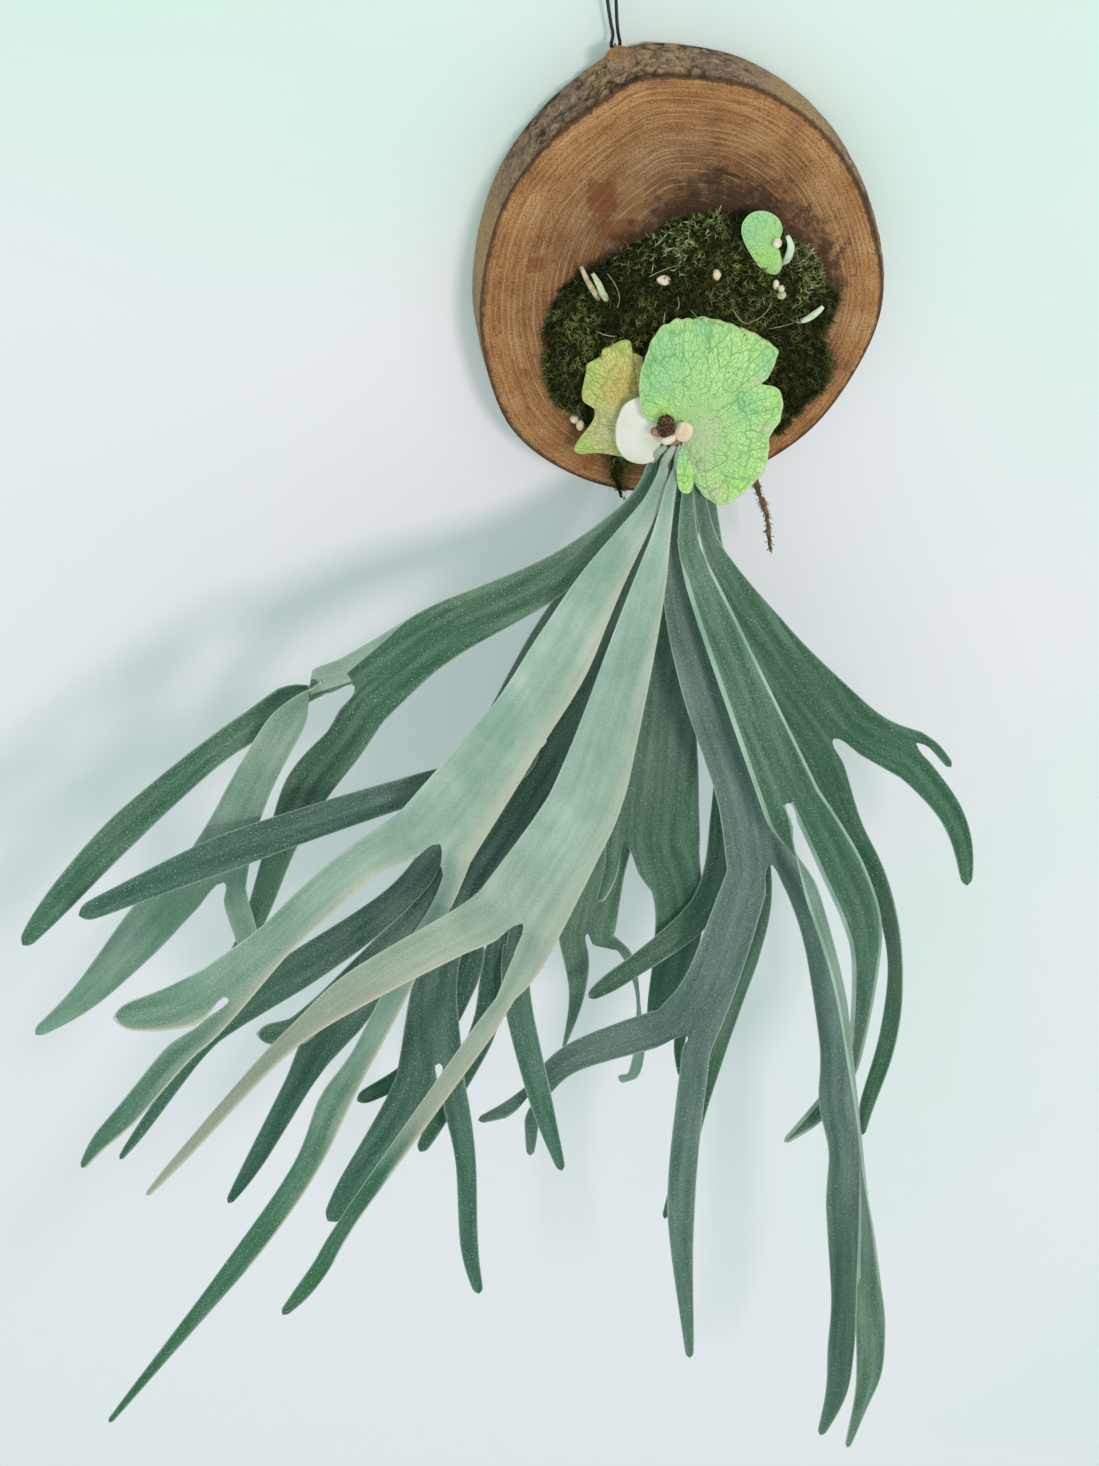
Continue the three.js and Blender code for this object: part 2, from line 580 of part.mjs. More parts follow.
const FROND_RIGHT_CURLED = blade([
  [-8, 86.5, STALK_TOP, 4], [-8, 86.5, -86, 5], [-10, 93, -108, 7], [-11, 106, -129, 12.5],
  [-7, 120, -145, 17], [41, 184, -264, 35.5],
],
  blade([
    [37, 194, -283, 17.5, 70], [51, 206, -312, 17, 125], [72, 222, -389, 17.5, 115],
    [92, 235, -528, 17, 90], [100, 241, -612, 16.5, 30], [103, 244, -651, 20],
    [105, 246, -695, 17.5], [101, 248, -723, 10], [94, 250, -764, 4],
  ]),
  blade([
    [59, 185, -282, 22.5], [75, 184, -317, 26.5], [92, 178, -363, 24.5], [99, 170, -404, 17.5],
    [101, 159, -482, 10], [95, 158, -510, 13], [83, 160, -534, 13], [70, 164, -545, 10],
    [56, 168, -555, 3.5],
  ]),
);
const FROND_RIGHT_HIGH = blade([
  [-3.5, 81, STALK_TOP, 4], [-3.5, 81, -86, 5], [5, 88, -142, 9.5], [36, 112, -196, 31],
  [56, 126, -223, 39.5], [77, 140, -250, 52],
],
  blade([
    [76, 148, -286, 21], [86, 154, -313, 17.5], [107, 161, -353, 15, 50], [119, 169, -410, 14, 60],
    [117, 174, -468, 12.5, 35], [105, 179, -521, 9.5], [104, 181, -541, 4],
  ]),
  blade([
    [101, 148, -251, 26], [120, 154, -259, 30.5],
  ],
    blade([
      [128, 158, -274, 18], [145, 162, -297, 15.5], [155, 165, -323, 12.5], [159, 168, -350, 7],
    ]),
    blade([[132, 156, -250, 6.5], [143, 160, -265, 5]]),
  ),
);

const FROND_FACING = new THREE.Vector3(-0.1, -0.8, 0.6).normalize();

// Number of points across a blade: three for each tip that grows from it, less the
// ones that neighbouring lobes share at their notch.
const pointsAcross = ({ lobes }) => (lobes.length === 0 ? 3
  : lobes.reduce((sum, lobe) => sum + pointsAcross(lobe) - 1, 1));

// Where those points lie across the blade, from -1 at the left edge to 1 at the right.
function sharesAcross({ lobes }) {
  if (lobes.length === 0) return [-1, 0, 1];
  const widths = lobes.map((lobe) => lobe.stations[0][3]);
  const total = widths.reduce((a, b) => a + b);
  const shares = [-1];
  let start = -1;
  lobes.forEach((lobe, i) => {
    const span = (2 * widths[i]) / total;
    shares.push(...sharesAcross(lobe).slice(1).map((u) => start + ((u + 1) / 2) * span));
    start += span;
  });
  return shares;
}

// One cross-section: a point for each share, with cupped and rippled margins.
function sectionPoints({ centre, side, face, width, along }, shares, phase) {
  const fullness = clamp((width - 10) / 25, 0, 1);
  return shares.map((u) => {
    const turn = (2 * Math.PI * along) / RIPPLE_LENGTH + phase + (u > 0 ? 1.7 : 0);
    const lift = CUP * width * (u * u - 0.33) + RIPPLE * u * u * fullness * Math.sin(turn);
    return centre.clone().addScaledVector(side, (width / 2) * u).addScaledVector(face, lift);
  });
}

function sectionThickness(width, shares) {
  const middle = Math.max(BLADE_THICKNESS,
    STALK_THICKNESS - (width - STALK_WIDTH) * THINNING);
  const margin = Math.max(MARGIN_THICKNESS, middle * 0.4);
  return shares.map((u) => mix(margin, middle, 1 - u * u));
}

// Side and face directions of a section whose blade runs along heading.
function sectionFrame(heading, twist) {
  const level = FROND_FACING.clone().cross(heading).normalize();
  const normal = heading.clone().cross(level);
  const angle = THREE.MathUtils.degToRad(twist);
  const side = level.multiplyScalar(Math.cos(angle)).addScaledVector(normal, Math.sin(angle));
  return { side, face: heading.clone().cross(side) };
}

// Steps along a blade as [span, share of the span], for its stations and its parent's end.
function stepsAlong(points, parent) {
  const steps = [];
  for (let span = 0; span + 1 < points.length; span += 1) {
    const length = points[span].distanceTo(points[span + 1]);
    let shares;
    if (parent && span === 0) {
      const extra = Math.max(0, Math.round(length / BLADE_STEP) - 2);
      const [first, second] = FORK_STEPS;
      shares = extra === 0 ? FORK_STEPS : [first, second, ...Array.from(
        { length: extra + 1 }, (_, k) => mix(second, 1, (k + 1) / (extra + 1)))];
    } else {
      const count = Math.max(1, Math.round(length / BLADE_STEP));
      shares = Array.from({ length: count }, (_, k) => (k + 1) / count);
      if (span === 0) shares.unshift(0);
    }
    shares.forEach((share) => steps.push([span, share]));
  }
  return steps;
}

function frondGeometry(plan, phase) {
  const vertices = [];
  const triangles = [];

  const addSection = (points, face, thickness) => points.map((point, i) => {
    vertices.push(point.clone().addScaledVector(face, thickness[i] / 2));
    vertices.push(point.clone().addScaledVector(face, -thickness[i] / 2));
    return [vertices.length - 2, vertices.length - 1];
  });

  const addStrip = (a, b) => {
    for (let i = 0; i + 1 < a.length; i += 1) {
      triangles.push([a[i][0], b[i][0], b[i + 1][0]], [a[i][0], b[i + 1][0], a[i + 1][0]]);
      triangles.push([a[i][1], b[i + 1][1], b[i][1]], [a[i][1], a[i + 1][1], b[i + 1][1]]);
    }
    const [leftA, leftB, rightA, rightB] = [a[0], b[0], a[a.length - 1], b[b.length - 1]];
    triangles.push([leftA[0], leftA[1], leftB[1]], [leftA[0], leftB[1], leftB[0]]);
    triangles.push([rightA[0], rightB[1], rightA[1]], [rightA[0], rightB[0], rightB[1]]);
  };

  const addCap = (row, atStart) => {
    for (let i = 0; i + 1 < row.length; i += 1) {
      const [a, b] = atStart ? [row[i], row[i + 1]] : [row[i + 1], row[i]];
      triangles.push([a[0], b[0], b[1]], [a[0], b[1], a[1]]);
    }
  };

  // Grows one blade from the part of its parent's last section that it inherits.
  function grow({ stations, lobes }, parent) {
    const shares = sharesAcross({ lobes });
    const points = stations.map(place);
    const widths = stations.map((station) => station[3]);
    const twists = stations.map((station) => station[4] ?? 0);
    if (parent) {
      points.unshift(parent.centre);
      widths.unshift(parent.width);
      twists.unshift(parent.twist);
    }
    const lead = parent ? parent.centre.clone().addScaledVector(
      parent.heading, -points[0].distanceTo(points[1])) : null;
    const curve = new THREE.CatmullRomCurve3(lead ? [lead, ...points] : points,
      false, 'catmullrom', 0.5);
    const spanCount = curve.points.length - 1;
    const first = lead ? 1 : 0;
    const firstLength = points[0].distanceTo(points[1]);
    const lastSpan = points.length - 2;
    const lastLength = points[lastSpan].distanceTo(points[lastSpan + 1]);

    let along = parent ? parent.along : 0;
    let previous = points[0];
    const locate = ([span, share]) => {
      const t = (first + span + share) / spanCount;
      const centre = curve.getPoint(t);
      along += centre.distanceTo(previous);
      previous = centre;
      return { span, share, centre, along, heading: curve.getTangent(t),
        width: mix(widths[span], widths[span + 1], share),
        twist: mix(twists[span], twists[span + 1], share) };
    };
    let rows = stepsAlong(points, parent).map(locate);

    if (lobes.length === 0) {
      const end = rows[rows.length - 1].along;
      const radius = Math.min(0.75 * widths[widths.length - 1], 0.8 * lastLength);
      rows = rows.filter((row) => row.along < end - radius - 0.35 * BLADE_STEP);
      for (const step of TIP_STEPS) {
        const share = Math.max(1 - (radius * (1 - step)) / lastLength, 0.02);
        const row = locate([lastSpan, share]);
        row.along = end - radius * (1 - step);
        row.width *= Math.max(Math.sqrt(1 - step * step), 0.16);
        rows.push(row);
      }
    }

    const sections = parent ? [parent.section] : [];
    let last = null;
    for (const row of rows) {
      Object.assign(row, sectionFrame(row.heading, row.twist));
      const forking = parent && row.span === 0;
      if (forking) {
        const blend = row.share * row.share * (3 - 2 * row.share);
        row.side = parent.side.clone().lerp(row.side, blend);
        row.side.addScaledVector(row.heading, -row.side.dot(row.heading)).normalize();
        row.face = row.heading.clone().cross(row.side);
      }
      const middle = sectionPoints(row, shares, phase);
      let thickness = sectionThickness(row.width, shares);
      if (forking) {
        const own = sectionPoints({ ...parent, face: parent.heading.clone().cross(parent.side) },
          shares, phase);
        const fade = (1 - row.share) ** 2;
        middle.forEach((point, i) => (
          point.addScaledVector(parent.points[i].clone().sub(own[i]), fade)));
        thickness = thickness.map((value, i) => mix(parent.thickness[i], value, row.share));
        const radius = Math.min(NOTCH_RADIUS, 0.35 * firstLength);
        const turn = Math.min(1, (row.share * firstLength) / (2.2 * radius));
        const pull = radius * (Math.sqrt(2 * turn - turn * turn) - turn);
        if (parent.notchLeft) middle[0].addScaledVector(row.side, pull);
        if (parent.notchRight) middle[middle.length - 1].addScaledVector(row.side, -pull);
      }
      sections.push(addSection(middle, row.face, thickness));
      last = { ...row, points: middle, thickness };
    }

    for (let i = 0; i + 1 < sections.length; i += 1) addStrip(sections[i], sections[i + 1]);
    if (!parent) addCap(sections[0], true);
    if (lobes.length === 0) addCap(sections[sections.length - 1], false);

    let start = 0;
    lobes.forEach((lobe, i) => {
      const end = start + pointsAcross(lobe);
      const own = last.points.slice(start, end);
      const across = own[own.length - 1].clone().sub(own[0]);
      grow(lobe, {
        centre: own[0].clone().lerp(own[own.length - 1], 0.5),
        side: across.clone().normalize(),
        width: across.length(),
        heading: last.heading,
        twist: last.twist,
        along: last.along,
        points: own,
        thickness: last.thickness.slice(start, end),
        section: sections[sections.length - 1].slice(start, end),
        notchLeft: i > 0,
        notchRight: i + 1 < lobes.length,
      });
      start = end - 1;
    });
  }

  grow(plan, null);
  return closedGeometry(vertices, triangles);
}

// ---------------------------------------------------------------- buds and pups
function crownBuds() {
  const buds = joined(
    lump([-25, 104.3, -56], [4.6, 4.2, 6]),
    lump([-24, 102, -62], [3.8, 3.2, 3.2], 8, 5),
    lump([-30, 101.5, -59], [3.8, 3.2, 3.2], 8, 5),
    lump([-16.5, 104, -59], [4.8, 4, 5.2]),
    lump([-20, 99.5, -65], [6, 3.8, 3.6], 8, 5),
  );
  return toGeometry(buds.subtract(crownSolid(GAP)));
}

const onMoss = (geometry) => toGeometry(toSolid(geometry).subtract(toSolid(mossPad(GAP))));

function pupBuds() {
  return [
    ['bud_tan', joined(lump([-21, 57.5, 13], [5, 3, 3.4], 10, 6))],
    ['bud_pink', joined(lump([9, 58, 15], [3, 2.6, 4.2], 8, 6))],
    ['bud_pair', joined(lump([44, 56.5, 5], [2.8, 2.6, 4.2], 8, 6),
      lump([46.5, 57, 0], [3.4, 2.6, 3], 8, 6))],
    ['bud_low', joined(lump([-70.5, 49.5, -76], [3.4, 3.4, 3.2], 8, 6),
      lump([-67, 50, -80], [3.2, 3.4, 4], 8, 6))],
  ].map(([name, solid]) => [name, toGeometry(solid.subtract(toSolid(mossPad(GAP))))]);
}

// ---------------------------------------------------------------- the whole plant
const look = (color, roughness = 0.8, metalness = 0) => (
  new THREE.MeshStandardMaterial({ color, roughness, metalness }));
const WOOD = look('#a5713f');
const MOSS = look('#3a4420', 1);
const GREEN = look('#4c7a58', 0.6);
const DARK_GREEN = look('#5e6f68', 0.6);
const SILVER = look('#a9cdbd', 0.9);
const PALE_GREEN = look('#9ed27a', 0.6);
const YELLOW_GREEN = look('#a8a858', 0.6);
const CREAM = look('#e4e2cf', 0.7);
const BROWN = look('#5a4028', 0.9);
const BLACK_STEEL = look('#222222', 0.35, 0.8);

const FRONDS = [
  ['frond_left_high', FROND_LEFT_HIGH, GREEN],
  ['frond_front_left', FROND_FRONT_LEFT, SILVER],
  ['frond_front_centre', FROND_FRONT_CENTRE, SILVER],
  ['frond_left_low', FROND_LEFT_LOW, DARK_GREEN],
  ['frond_under_left', FROND_UNDER_LEFT, SILVER],
  ['frond_under_centre', FROND_UNDER_CENTRE, SILVER],
  ['frond_broad', FROND_BROAD, GREEN],
  ['frond_thin', FROND_THIN, SILVER],
  ['frond_under_right', FROND_UNDER_RIGHT, SILVER],
  ['frond_right_long', FROND_RIGHT_LONG, DARK_GREEN],
  ['frond_right_curled', FROND_RIGHT_CURLED, DARK_GREEN],
  ['frond_right_high', FROND_RIGHT_HIGH, GREEN],
];
const PHASE_STEP = 0.55;

const fern = new THREE.Group();

function add(name, geometry, material) {
  geometry.computeVertexNormals();
  const mesh = new THREE.Mesh(geometry, material);
  mesh.name = name;
  fern.add(mesh);
}

add('wood_slab', woodSlab(), WOOD);
add('wire_staple', stapleGeometry(), BLACK_STEEL);
const wireLine = new THREE.CatmullRomCurve3(WIRE_ROUTE.map((p) => new THREE.Vector3(...p)));
add('hanging_wire', wireAlong(wireLine, WIRE_RADIUS, WIRE_STEPS), BLACK_STEEL);
add('moss_pad', mossGeometry(), MOSS);
add('crown', toGeometry(crownSolid(0)), BROWN);
add('crown_buds', crownBuds(), CREAM);
add('shield_main', shieldGeometry({ ...MAIN_SHIELD, wave: 0.6, steps: 1 }), PALE_GREEN);
add('shield_left', shieldGeometry({ ...LEFT_SHIELD, steps: 1 }), YELLOW_GREEN);
add('shield_young', shieldGeometry(YOUNG_SHIELD), CREAM);
add('shield_flap', shieldGeometry(SHIELD_FLAP), PALE_GREEN);
add('pup_shield', onMoss(toGeometry(joined(
  shieldGeometry({ ...PUP_SHIELD, steps: 1 }), lump([42, 60, 33], [2.8, 2.8, 3.2], 8, 5)))),
  PALE_GREEN);
add('pup_leaf', onMoss(taperedRod([[47, 51.5, 17], [49.3, 57, 22], [50, 60, 31],
  [47.8, 59.5, 37]], 1.8, 1.6)), PALE_GREEN);
add('pup_strap_brown', onMoss(taperedRod([[-57, 51, 0], [-60, 53.5, 6], [-64, 52, 13],
  [-67, 49, 20]], 1.6, 1.2)), BROWN);
add('pup_strap_green', onMoss(taperedRod([[-53, 53, 1], [-55.5, 56, 6], [-58, 55, 12],
  [-61, 52.5, 17]], 1.9, 1.3)), PALE_GREEN);
add('pup_strap_right', onMoss(taperedRod([[57, 54, -19], [61, 58.5, -16], [66, 60, -12],
  [71, 59, -8]], 1.2, 1.9)), PALE_GREEN);
for (const [name, geometry] of pupBuds()) add(name, geometry, CREAM);
FRONDS.forEach(([name, plan, material], i) => {
  add(name, frondGeometry(plan, i * PHASE_STEP), material);
});

export default fern;
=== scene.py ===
# %% [markdown]
# # A staghorn fern grown on a slice of wood
#
# This lesson dresses a mounted staghorn fern. The shapes that carry weight come from a packed
# CAD model, the frame, and every piece here is made around it, in metres, with +Z up. The back
# of the wood slice lies on the wall at y = 0 and the plant faces -Y.
#
# Most places below are written as [x, out, z] in millimetres, where out is the distance from
# the wall, because that is how a grower would measure the plant.

# %% Load the frame
import json
import math
import random
from functools import partial
from types import SimpleNamespace

import bpy
import numpy as np
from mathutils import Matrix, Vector, noise

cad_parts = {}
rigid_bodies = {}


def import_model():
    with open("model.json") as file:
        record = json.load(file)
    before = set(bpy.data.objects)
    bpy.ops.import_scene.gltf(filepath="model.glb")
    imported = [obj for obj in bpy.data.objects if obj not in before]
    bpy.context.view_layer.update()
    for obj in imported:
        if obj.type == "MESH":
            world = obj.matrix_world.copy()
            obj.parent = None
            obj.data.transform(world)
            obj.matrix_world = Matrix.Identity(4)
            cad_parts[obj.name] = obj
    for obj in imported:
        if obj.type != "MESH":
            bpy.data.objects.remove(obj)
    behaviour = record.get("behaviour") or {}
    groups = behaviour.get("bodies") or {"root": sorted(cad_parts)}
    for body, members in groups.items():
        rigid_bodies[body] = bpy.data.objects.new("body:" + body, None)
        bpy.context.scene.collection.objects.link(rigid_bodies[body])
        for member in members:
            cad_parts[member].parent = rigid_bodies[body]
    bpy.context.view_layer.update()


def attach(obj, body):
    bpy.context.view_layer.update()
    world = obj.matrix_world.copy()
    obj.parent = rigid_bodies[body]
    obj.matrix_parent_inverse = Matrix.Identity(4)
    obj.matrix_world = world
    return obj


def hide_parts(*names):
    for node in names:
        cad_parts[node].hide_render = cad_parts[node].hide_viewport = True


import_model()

# %% [markdown]
# The camera comes first, because it decides how much detail each piece needs. It stands in
# front of the plant, a little to the left, and looks down on it by 35 degrees.

# %% The camera
MM = 0.001
LENS_LENGTH = 63.85  # millimetres
CAMERA_PLACE = (-0.2487, -1.3832, 0.6429)  # metres


def place(points):
    """One [x, out, z] in millimetres, or rows of them, as places in metres."""
    return np.asarray(points, float) * (1, -1, 1) * MM


def towards_viewer(azimuth, pitch):
    """The direction from the plant to a viewer at these angles in degrees."""
    turn, drop = math.radians(azimuth), math.radians(pitch)
    return Vector((math.sin(turn) * math.cos(drop), -math.cos(turn) * math.cos(drop), math.sin(drop)))


def put(name, data):
    """A new object in the scene, for that mesh, lamp or camera."""
    thing = bpy.data.objects.new(name, data)
    bpy.context.scene.collection.objects.link(thing)
    return thing


camera = put("camera", bpy.data.cameras.new("camera"))
back = towards_viewer(-7, 35)
camera.data.lens = LENS_LENGTH
camera.data.clip_start = 0.05
camera.location = CAMERA_PLACE
camera.rotation_mode = "QUATERNION"
camera.rotation_quaternion = back.to_track_quat("Z", "Y")
bpy.context.scene.camera = camera
bpy.context.scene.view_settings.view_transform = "Standard"
print("camera looks along", [round(-v, 3) for v in back])

# %% [markdown]
# Every material is a small tree of nodes. One function adds a node: its plain settings are
# keywords, and `links` gives its sockets a value, a colour or another node, by name or in
# order. Colours are written as the sRGB hex values that a painter would pick, and turned to
# linear light here.

# %% Colours and nodes


def paint(code):
    """An sRGB hex colour as linear RGBA."""
    parts = [int(code[i : i + 2], 16) / 255 for i in (1, 3, 5)]
    return (*[c / 12.92 if c <= 0.04045 else ((c + 0.055) / 1.055) ** 2.4 for c in parts], 1)


def add_node(tree, kind, links=(), stops=None, **settings):
    """A new node of that kind, with its settings, its colour stops and what its sockets get.

    links names sockets, or lists them in order. Each gets a value, an output, or a node, which
    stands for that node's first output in use.
    """
    node = tree.nodes.new(kind if "Node" in kind else "ShaderNode" + kind)
    for name, value in settings.items():
        setattr(node, name, value)
    if stops:
        ramp = node.color_ramp
        while len(ramp.elements) < len(stops):
            ramp.elements.new(0.5)
        for element, (where, colour) in zip(ramp.elements, stops):
            element.position = where
            element.color = paint(colour) if isinstance(colour, str) else (colour, colour, colour, 1)
    for socket, value in links.items() if isinstance(links, dict) else enumerate(links):
        give(tree, node.inputs[socket], value)
    return node


def give(tree, socket, value):
    """Links the socket to a node or an output, or sets it to a number, a name or a colour."""
    if isinstance(value, bpy.types.Node):
        value = next(output for output in value.outputs if output.enabled)
    if isinstance(value, bpy.types.NodeSocket):
        tree.links.new(value, socket)
    else:
        painted = isinstance(value, str) and value.startswith("#")
        socket.default_value = paint(value) if painted else value


def new_material(name, reads="", **finish):
    """A material with those fixed shader values, and what it takes to build its nodes.

    add adds a node. at holds what the material reads: the spot on the object, and numbers that
    its points carry. surface gives the shader its colour, its relief and what else it is told.
    """
    material = bpy.data.materials.new(name)
    material.use_nodes = True
    tree = material.node_tree
    shader = tree.nodes["Principled BSDF"]
    add = partial(add_node, tree)

    def surface(colour, relief=None, strength=1.0, depth=0.001, **others):
        """Gives the shader its colour, a relief of that strength and depth, and the others."""
        if relief:
            others["Normal"] = add("Bump", {"Height": relief, "Strength": strength, "Distance": depth})
        for socket, value in {"Base Color": colour, **others}.items():
            give(tree, shader.inputs[socket.replace("_", " ")], value)

    for socket, value in finish.items():
        give(tree, shader.inputs[socket.replace("_", " ")], value)
    at = SimpleNamespace()
    for label in reads.split():
        if label == "spot":
            at.spot = add("TexCoord").outputs["Object"]
        else:
            setattr(at, label, add("Attribute", attribute_name=label).outputs["Fac"])
    return material, add, at, surface


print("half grey in linear light:", round(paint("#808080")[0], 3))

# %% [markdown]
# A finished piece sits at the origin, with its place in its mesh. One function makes such a
# piece from points in metres, hangs its named numbers on the points for its material to read,
# and tells the frame what it rides on and which CAD nodes it stands for.

# %% Making pieces


def smooth_line(points, steps, closed=False):
    """A smooth curve through rows of numbers, with that many steps between two rows."""
    rows = np.asarray(points, float)
    if closed:
        rows = np.vstack([rows[-1], rows, rows[:2]])
    else:
        rows = np.vstack([2 * rows[0] - rows[1], rows, 2 * rows[-1] - rows[-2]])
    t = (np.arange(steps) / steps)[:, None]
    parts = [
        0.5 * (2 * b + (c - a) * t + (2 * a - 5 * b + 4 * c - d) * t**2 + (3 * b - a - 3 * c + d) * t**3)
        for a, b, c, d in zip(rows, rows[1:], rows[2:], rows[3:])
    ]
    line = np.vstack(parts)
    return line if closed else np.vstack([line, rows[-2]])


def wander(points, size, seed=0.0):
    """Smooth noise between about -1 and 1 at points in metres, with lumps of size millimetres."""
    scale = 1 / (size * MM)
    shift = Vector((seed, seed * 1.7, seed * 2.3))
    return np.array([noise.noise(Vector(p) * scale + shift) for p in points])


def number_points(mesh, label, values):
    """Gives each point of the mesh its number under that label, or all of them the same one."""
    layer = mesh.attributes.get(label) or mesh.attributes.new(label, "FLOAT", "POINT")
    layer.data.foreach_set("value", np.full(len(mesh.vertices), values, np.float32))


def new_piece(name, points, faces, materials, slot=None, replaces=(), uv=None, **numbers):
    """A smooth mesh piece on the root body. numbers are one float a point, for the materials."""
    mesh = bpy.data.meshes.new(name)
    mesh.from_pydata(np.asarray(points).tolist(), [], faces)
    mesh.validate()
    mesh.shade_smooth()
    for label, values in numbers.items():
        number_points(mesh, label, values)
    if uv is not None:
        corner = np.zeros(len(mesh.loops), np.int32)
        mesh.loops.foreach_get("vertex_index", corner)
        layer = mesh.uv_layers.new(name="UVMap")
        layer.data.foreach_set("uv", np.asarray(uv, np.float32)[corner].ravel())
    for material in materials:
        mesh.materials.append(material)
    return settle(put(name, mesh), replaces)


def settle(piece, replaces=()):
    """Tells the frame what the piece rides on, and hides the CAD nodes it stands for."""
    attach(piece, "root")
    if replaces:
        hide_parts(*replaces)
    return piece


def grid_faces(rows, columns, closed=False, start=0):
    """Quads between rows of points, each row of that many columns."""
    beside = [(c, (c + 1) % columns) for c in range(columns if closed else columns - 1)]
    return [
        (
            start + r * columns + a, start + r * columns + b, start + (r + 1) * columns + b,
            start + (r + 1) * columns + a
        ) for r in range(rows - 1) for a, b in beside
    ]


def fan_faces(tip, start, count, turned=False):
    """Triangles between a tip and a ring of that many points, to close an end."""
    ring = [(start + c, start + (c + 1) % count) for c in range(count)]
    return [(tip, b, a) if turned else (tip, a, b) for a, b in ring]


print("faces of a tube with 3 rings of 4 points:", len(grid_faces(3, 4, closed=True)))

# %% [markdown]
# ## Wall, floor and light
#
# The plant hangs on a pale wall. The wall lets light and sight through from behind, so that
# the back of the slice can be looked at too. The light is soft: one large lamp in front, a
# little above, gives the faint shadows on the wall, and the sky fills the rest.

# %% Wall, floor and light
WALL_GAP = 0.003
FLOOR_LEVEL = -1.3


def stage_plane(name, corners, material):
    """A flat part of the stage, which isn't part of the plant."""
    mesh = bpy.data.meshes.new(name)
    mesh.from_pydata(corners, [], [(0, 1, 2, 3)])
    mesh.materials.append(material)
    plane = put(name, mesh)


# Matt wall paint: no gloss, with a faint cloudy change from mint to a cool white.
# A little glow of its own keeps the shadows on it faint.
wall_paint, add, at, surface = new_material(
    "matt_wall_paint", "spot", Roughness=0.95, Specular_IOR_Level=0.1, Emission_Color="#c4e6d8",
    Emission_Strength=0.2,
)
clouds = add("TexNoise", {"Vector": at.spot, "Scale": 1.6, "Detail": 2})
slant = add("VectorMath", [at.spot, (-0.12, 0, -0.16)], operation="DOT_PRODUCT")
drift = add("Math", [slant, clouds], operation="ADD")
surface(add("ValToRGB", [drift], stops=[(0.38, "#cddcd7"), (0.58, "#e1d9e3")]))
nodes = wall_paint.node_tree.nodes
behind = add("NewGeometry").outputs["Backfacing"]
sides = add("MixShader", [behind, nodes["Principled BSDF"], add("BsdfTransparent")])
give(wall_paint.node_tree, nodes["Material Output"].inputs["Surface"], sides)

floor_paint = new_material("pale_floor", Roughness=0.9, Base_Color="#e6ecee")[0]
upright = [(x, WALL_GAP, z) for x, z in ((-4, FLOOR_LEVEL), (4, FLOOR_LEVEL), (4, 3), (-4, 3))]
level = [(x, y, FLOOR_LEVEL) for x, y in ((-4, -4), (4, -4), (4, 4), (-4, 4))]
stage_plane("wall", upright, wall_paint)
stage_plane("floor", level, floor_paint)


def soft_lamp(name, position, target, size, watts, colour):
    """A square lamp of that size in metres, turned to its target."""
    lamp = bpy.data.lights.new(name, "AREA")
    lamp.size, lamp.energy, lamp.color = size, watts, paint(colour)[:3]
    holder = put(name, lamp)
    holder.location = position
    holder.rotation_mode = "QUATERNION"
    holder.rotation_quaternion = (Vector(position) - Vector(target)).to_track_quat("Z", "Y")


soft_lamp("window", (0.5, -2.6, 0.75), (0, 0, -0.3), 0.45, 29, "#ffe9ec")
soft_lamp("left_fill", (-1.6, -2.2, 1.3), (0, 0, -0.2), 1.8, 5, "#f2f2ff")
world = bpy.data.worlds.new("sky")
bpy.context.scene.world = world
world.use_nodes = True
sky = world.node_tree.nodes["Background"].inputs
sky["Color"].default_value = paint("#d7f0e6")
sky["Strength"].default_value = 0.8

# %% [markdown]
# ## The forked fronds
#
# A staghorn frond is one leathery blade that forks again and again. Each blade here is a chain
# of stations, [x, out, z, width, twist in degrees], and the lobes that it forks into, listed
# left to right. A plan like this is short to write and can be swept at any fineness: the CAD
# model sweeps it coarsely, and this lesson sweeps the same plan with many points across.

# %% Plans of the twelve fronds
STALK_TOP = -79.3


def blade(stations, *lobes):
    """One length of a frond, and the lobes that it ends in."""
    return {"stations": stations, "lobes": lobes}


FROND_LEFT_HIGH = blade([[-29, 84, STALK_TOP, 4], [-29, 84, -86, 5], [-40, 92, -111, 10],
  [-90, 120, -138, 23], [-157, 152, -150, 32.5], [-184, 166, -160, 35.5], [-207, 182, -167, 42.5]],
  blade([[-229, 190, -153, 16]],
    blade([[-237, 202, -157, 17.5, 110], [-248, 206, -167, 20, 175], [-268, 210, -200, 22, 180],
      [-284, 213, -234, 27, 180], [-296, 214, -264, 38, 180]],
      blade([[-284, 212, -291, 14.5, 180], [-281, 206, -314, 14, 180], [-280, 198, -342, 9.5, 180]]),
      blade([[-317, 214, -274, 28.5, 180], [-339, 215, -300, 28, 180], [-376, 217, -343, 16.5, 170],
        [-406, 220, -365, 6, 165]])),
    blade([[-249, 186, -167, 15.5], [-264, 190, -177, 17], [-292, 194, -194, 15.5], [-346, 206, -236, 20],
      [-386, 218, -274, 15.5], [-405, 224, -295, 7.5]])),
  blade([[-218, 184, -201, 23.5], [-239, 184, -227, 27], [-256, 182, -267, 18], [-277, 176, -332, 12],
    [-293, 172, -364, 6.5]]))
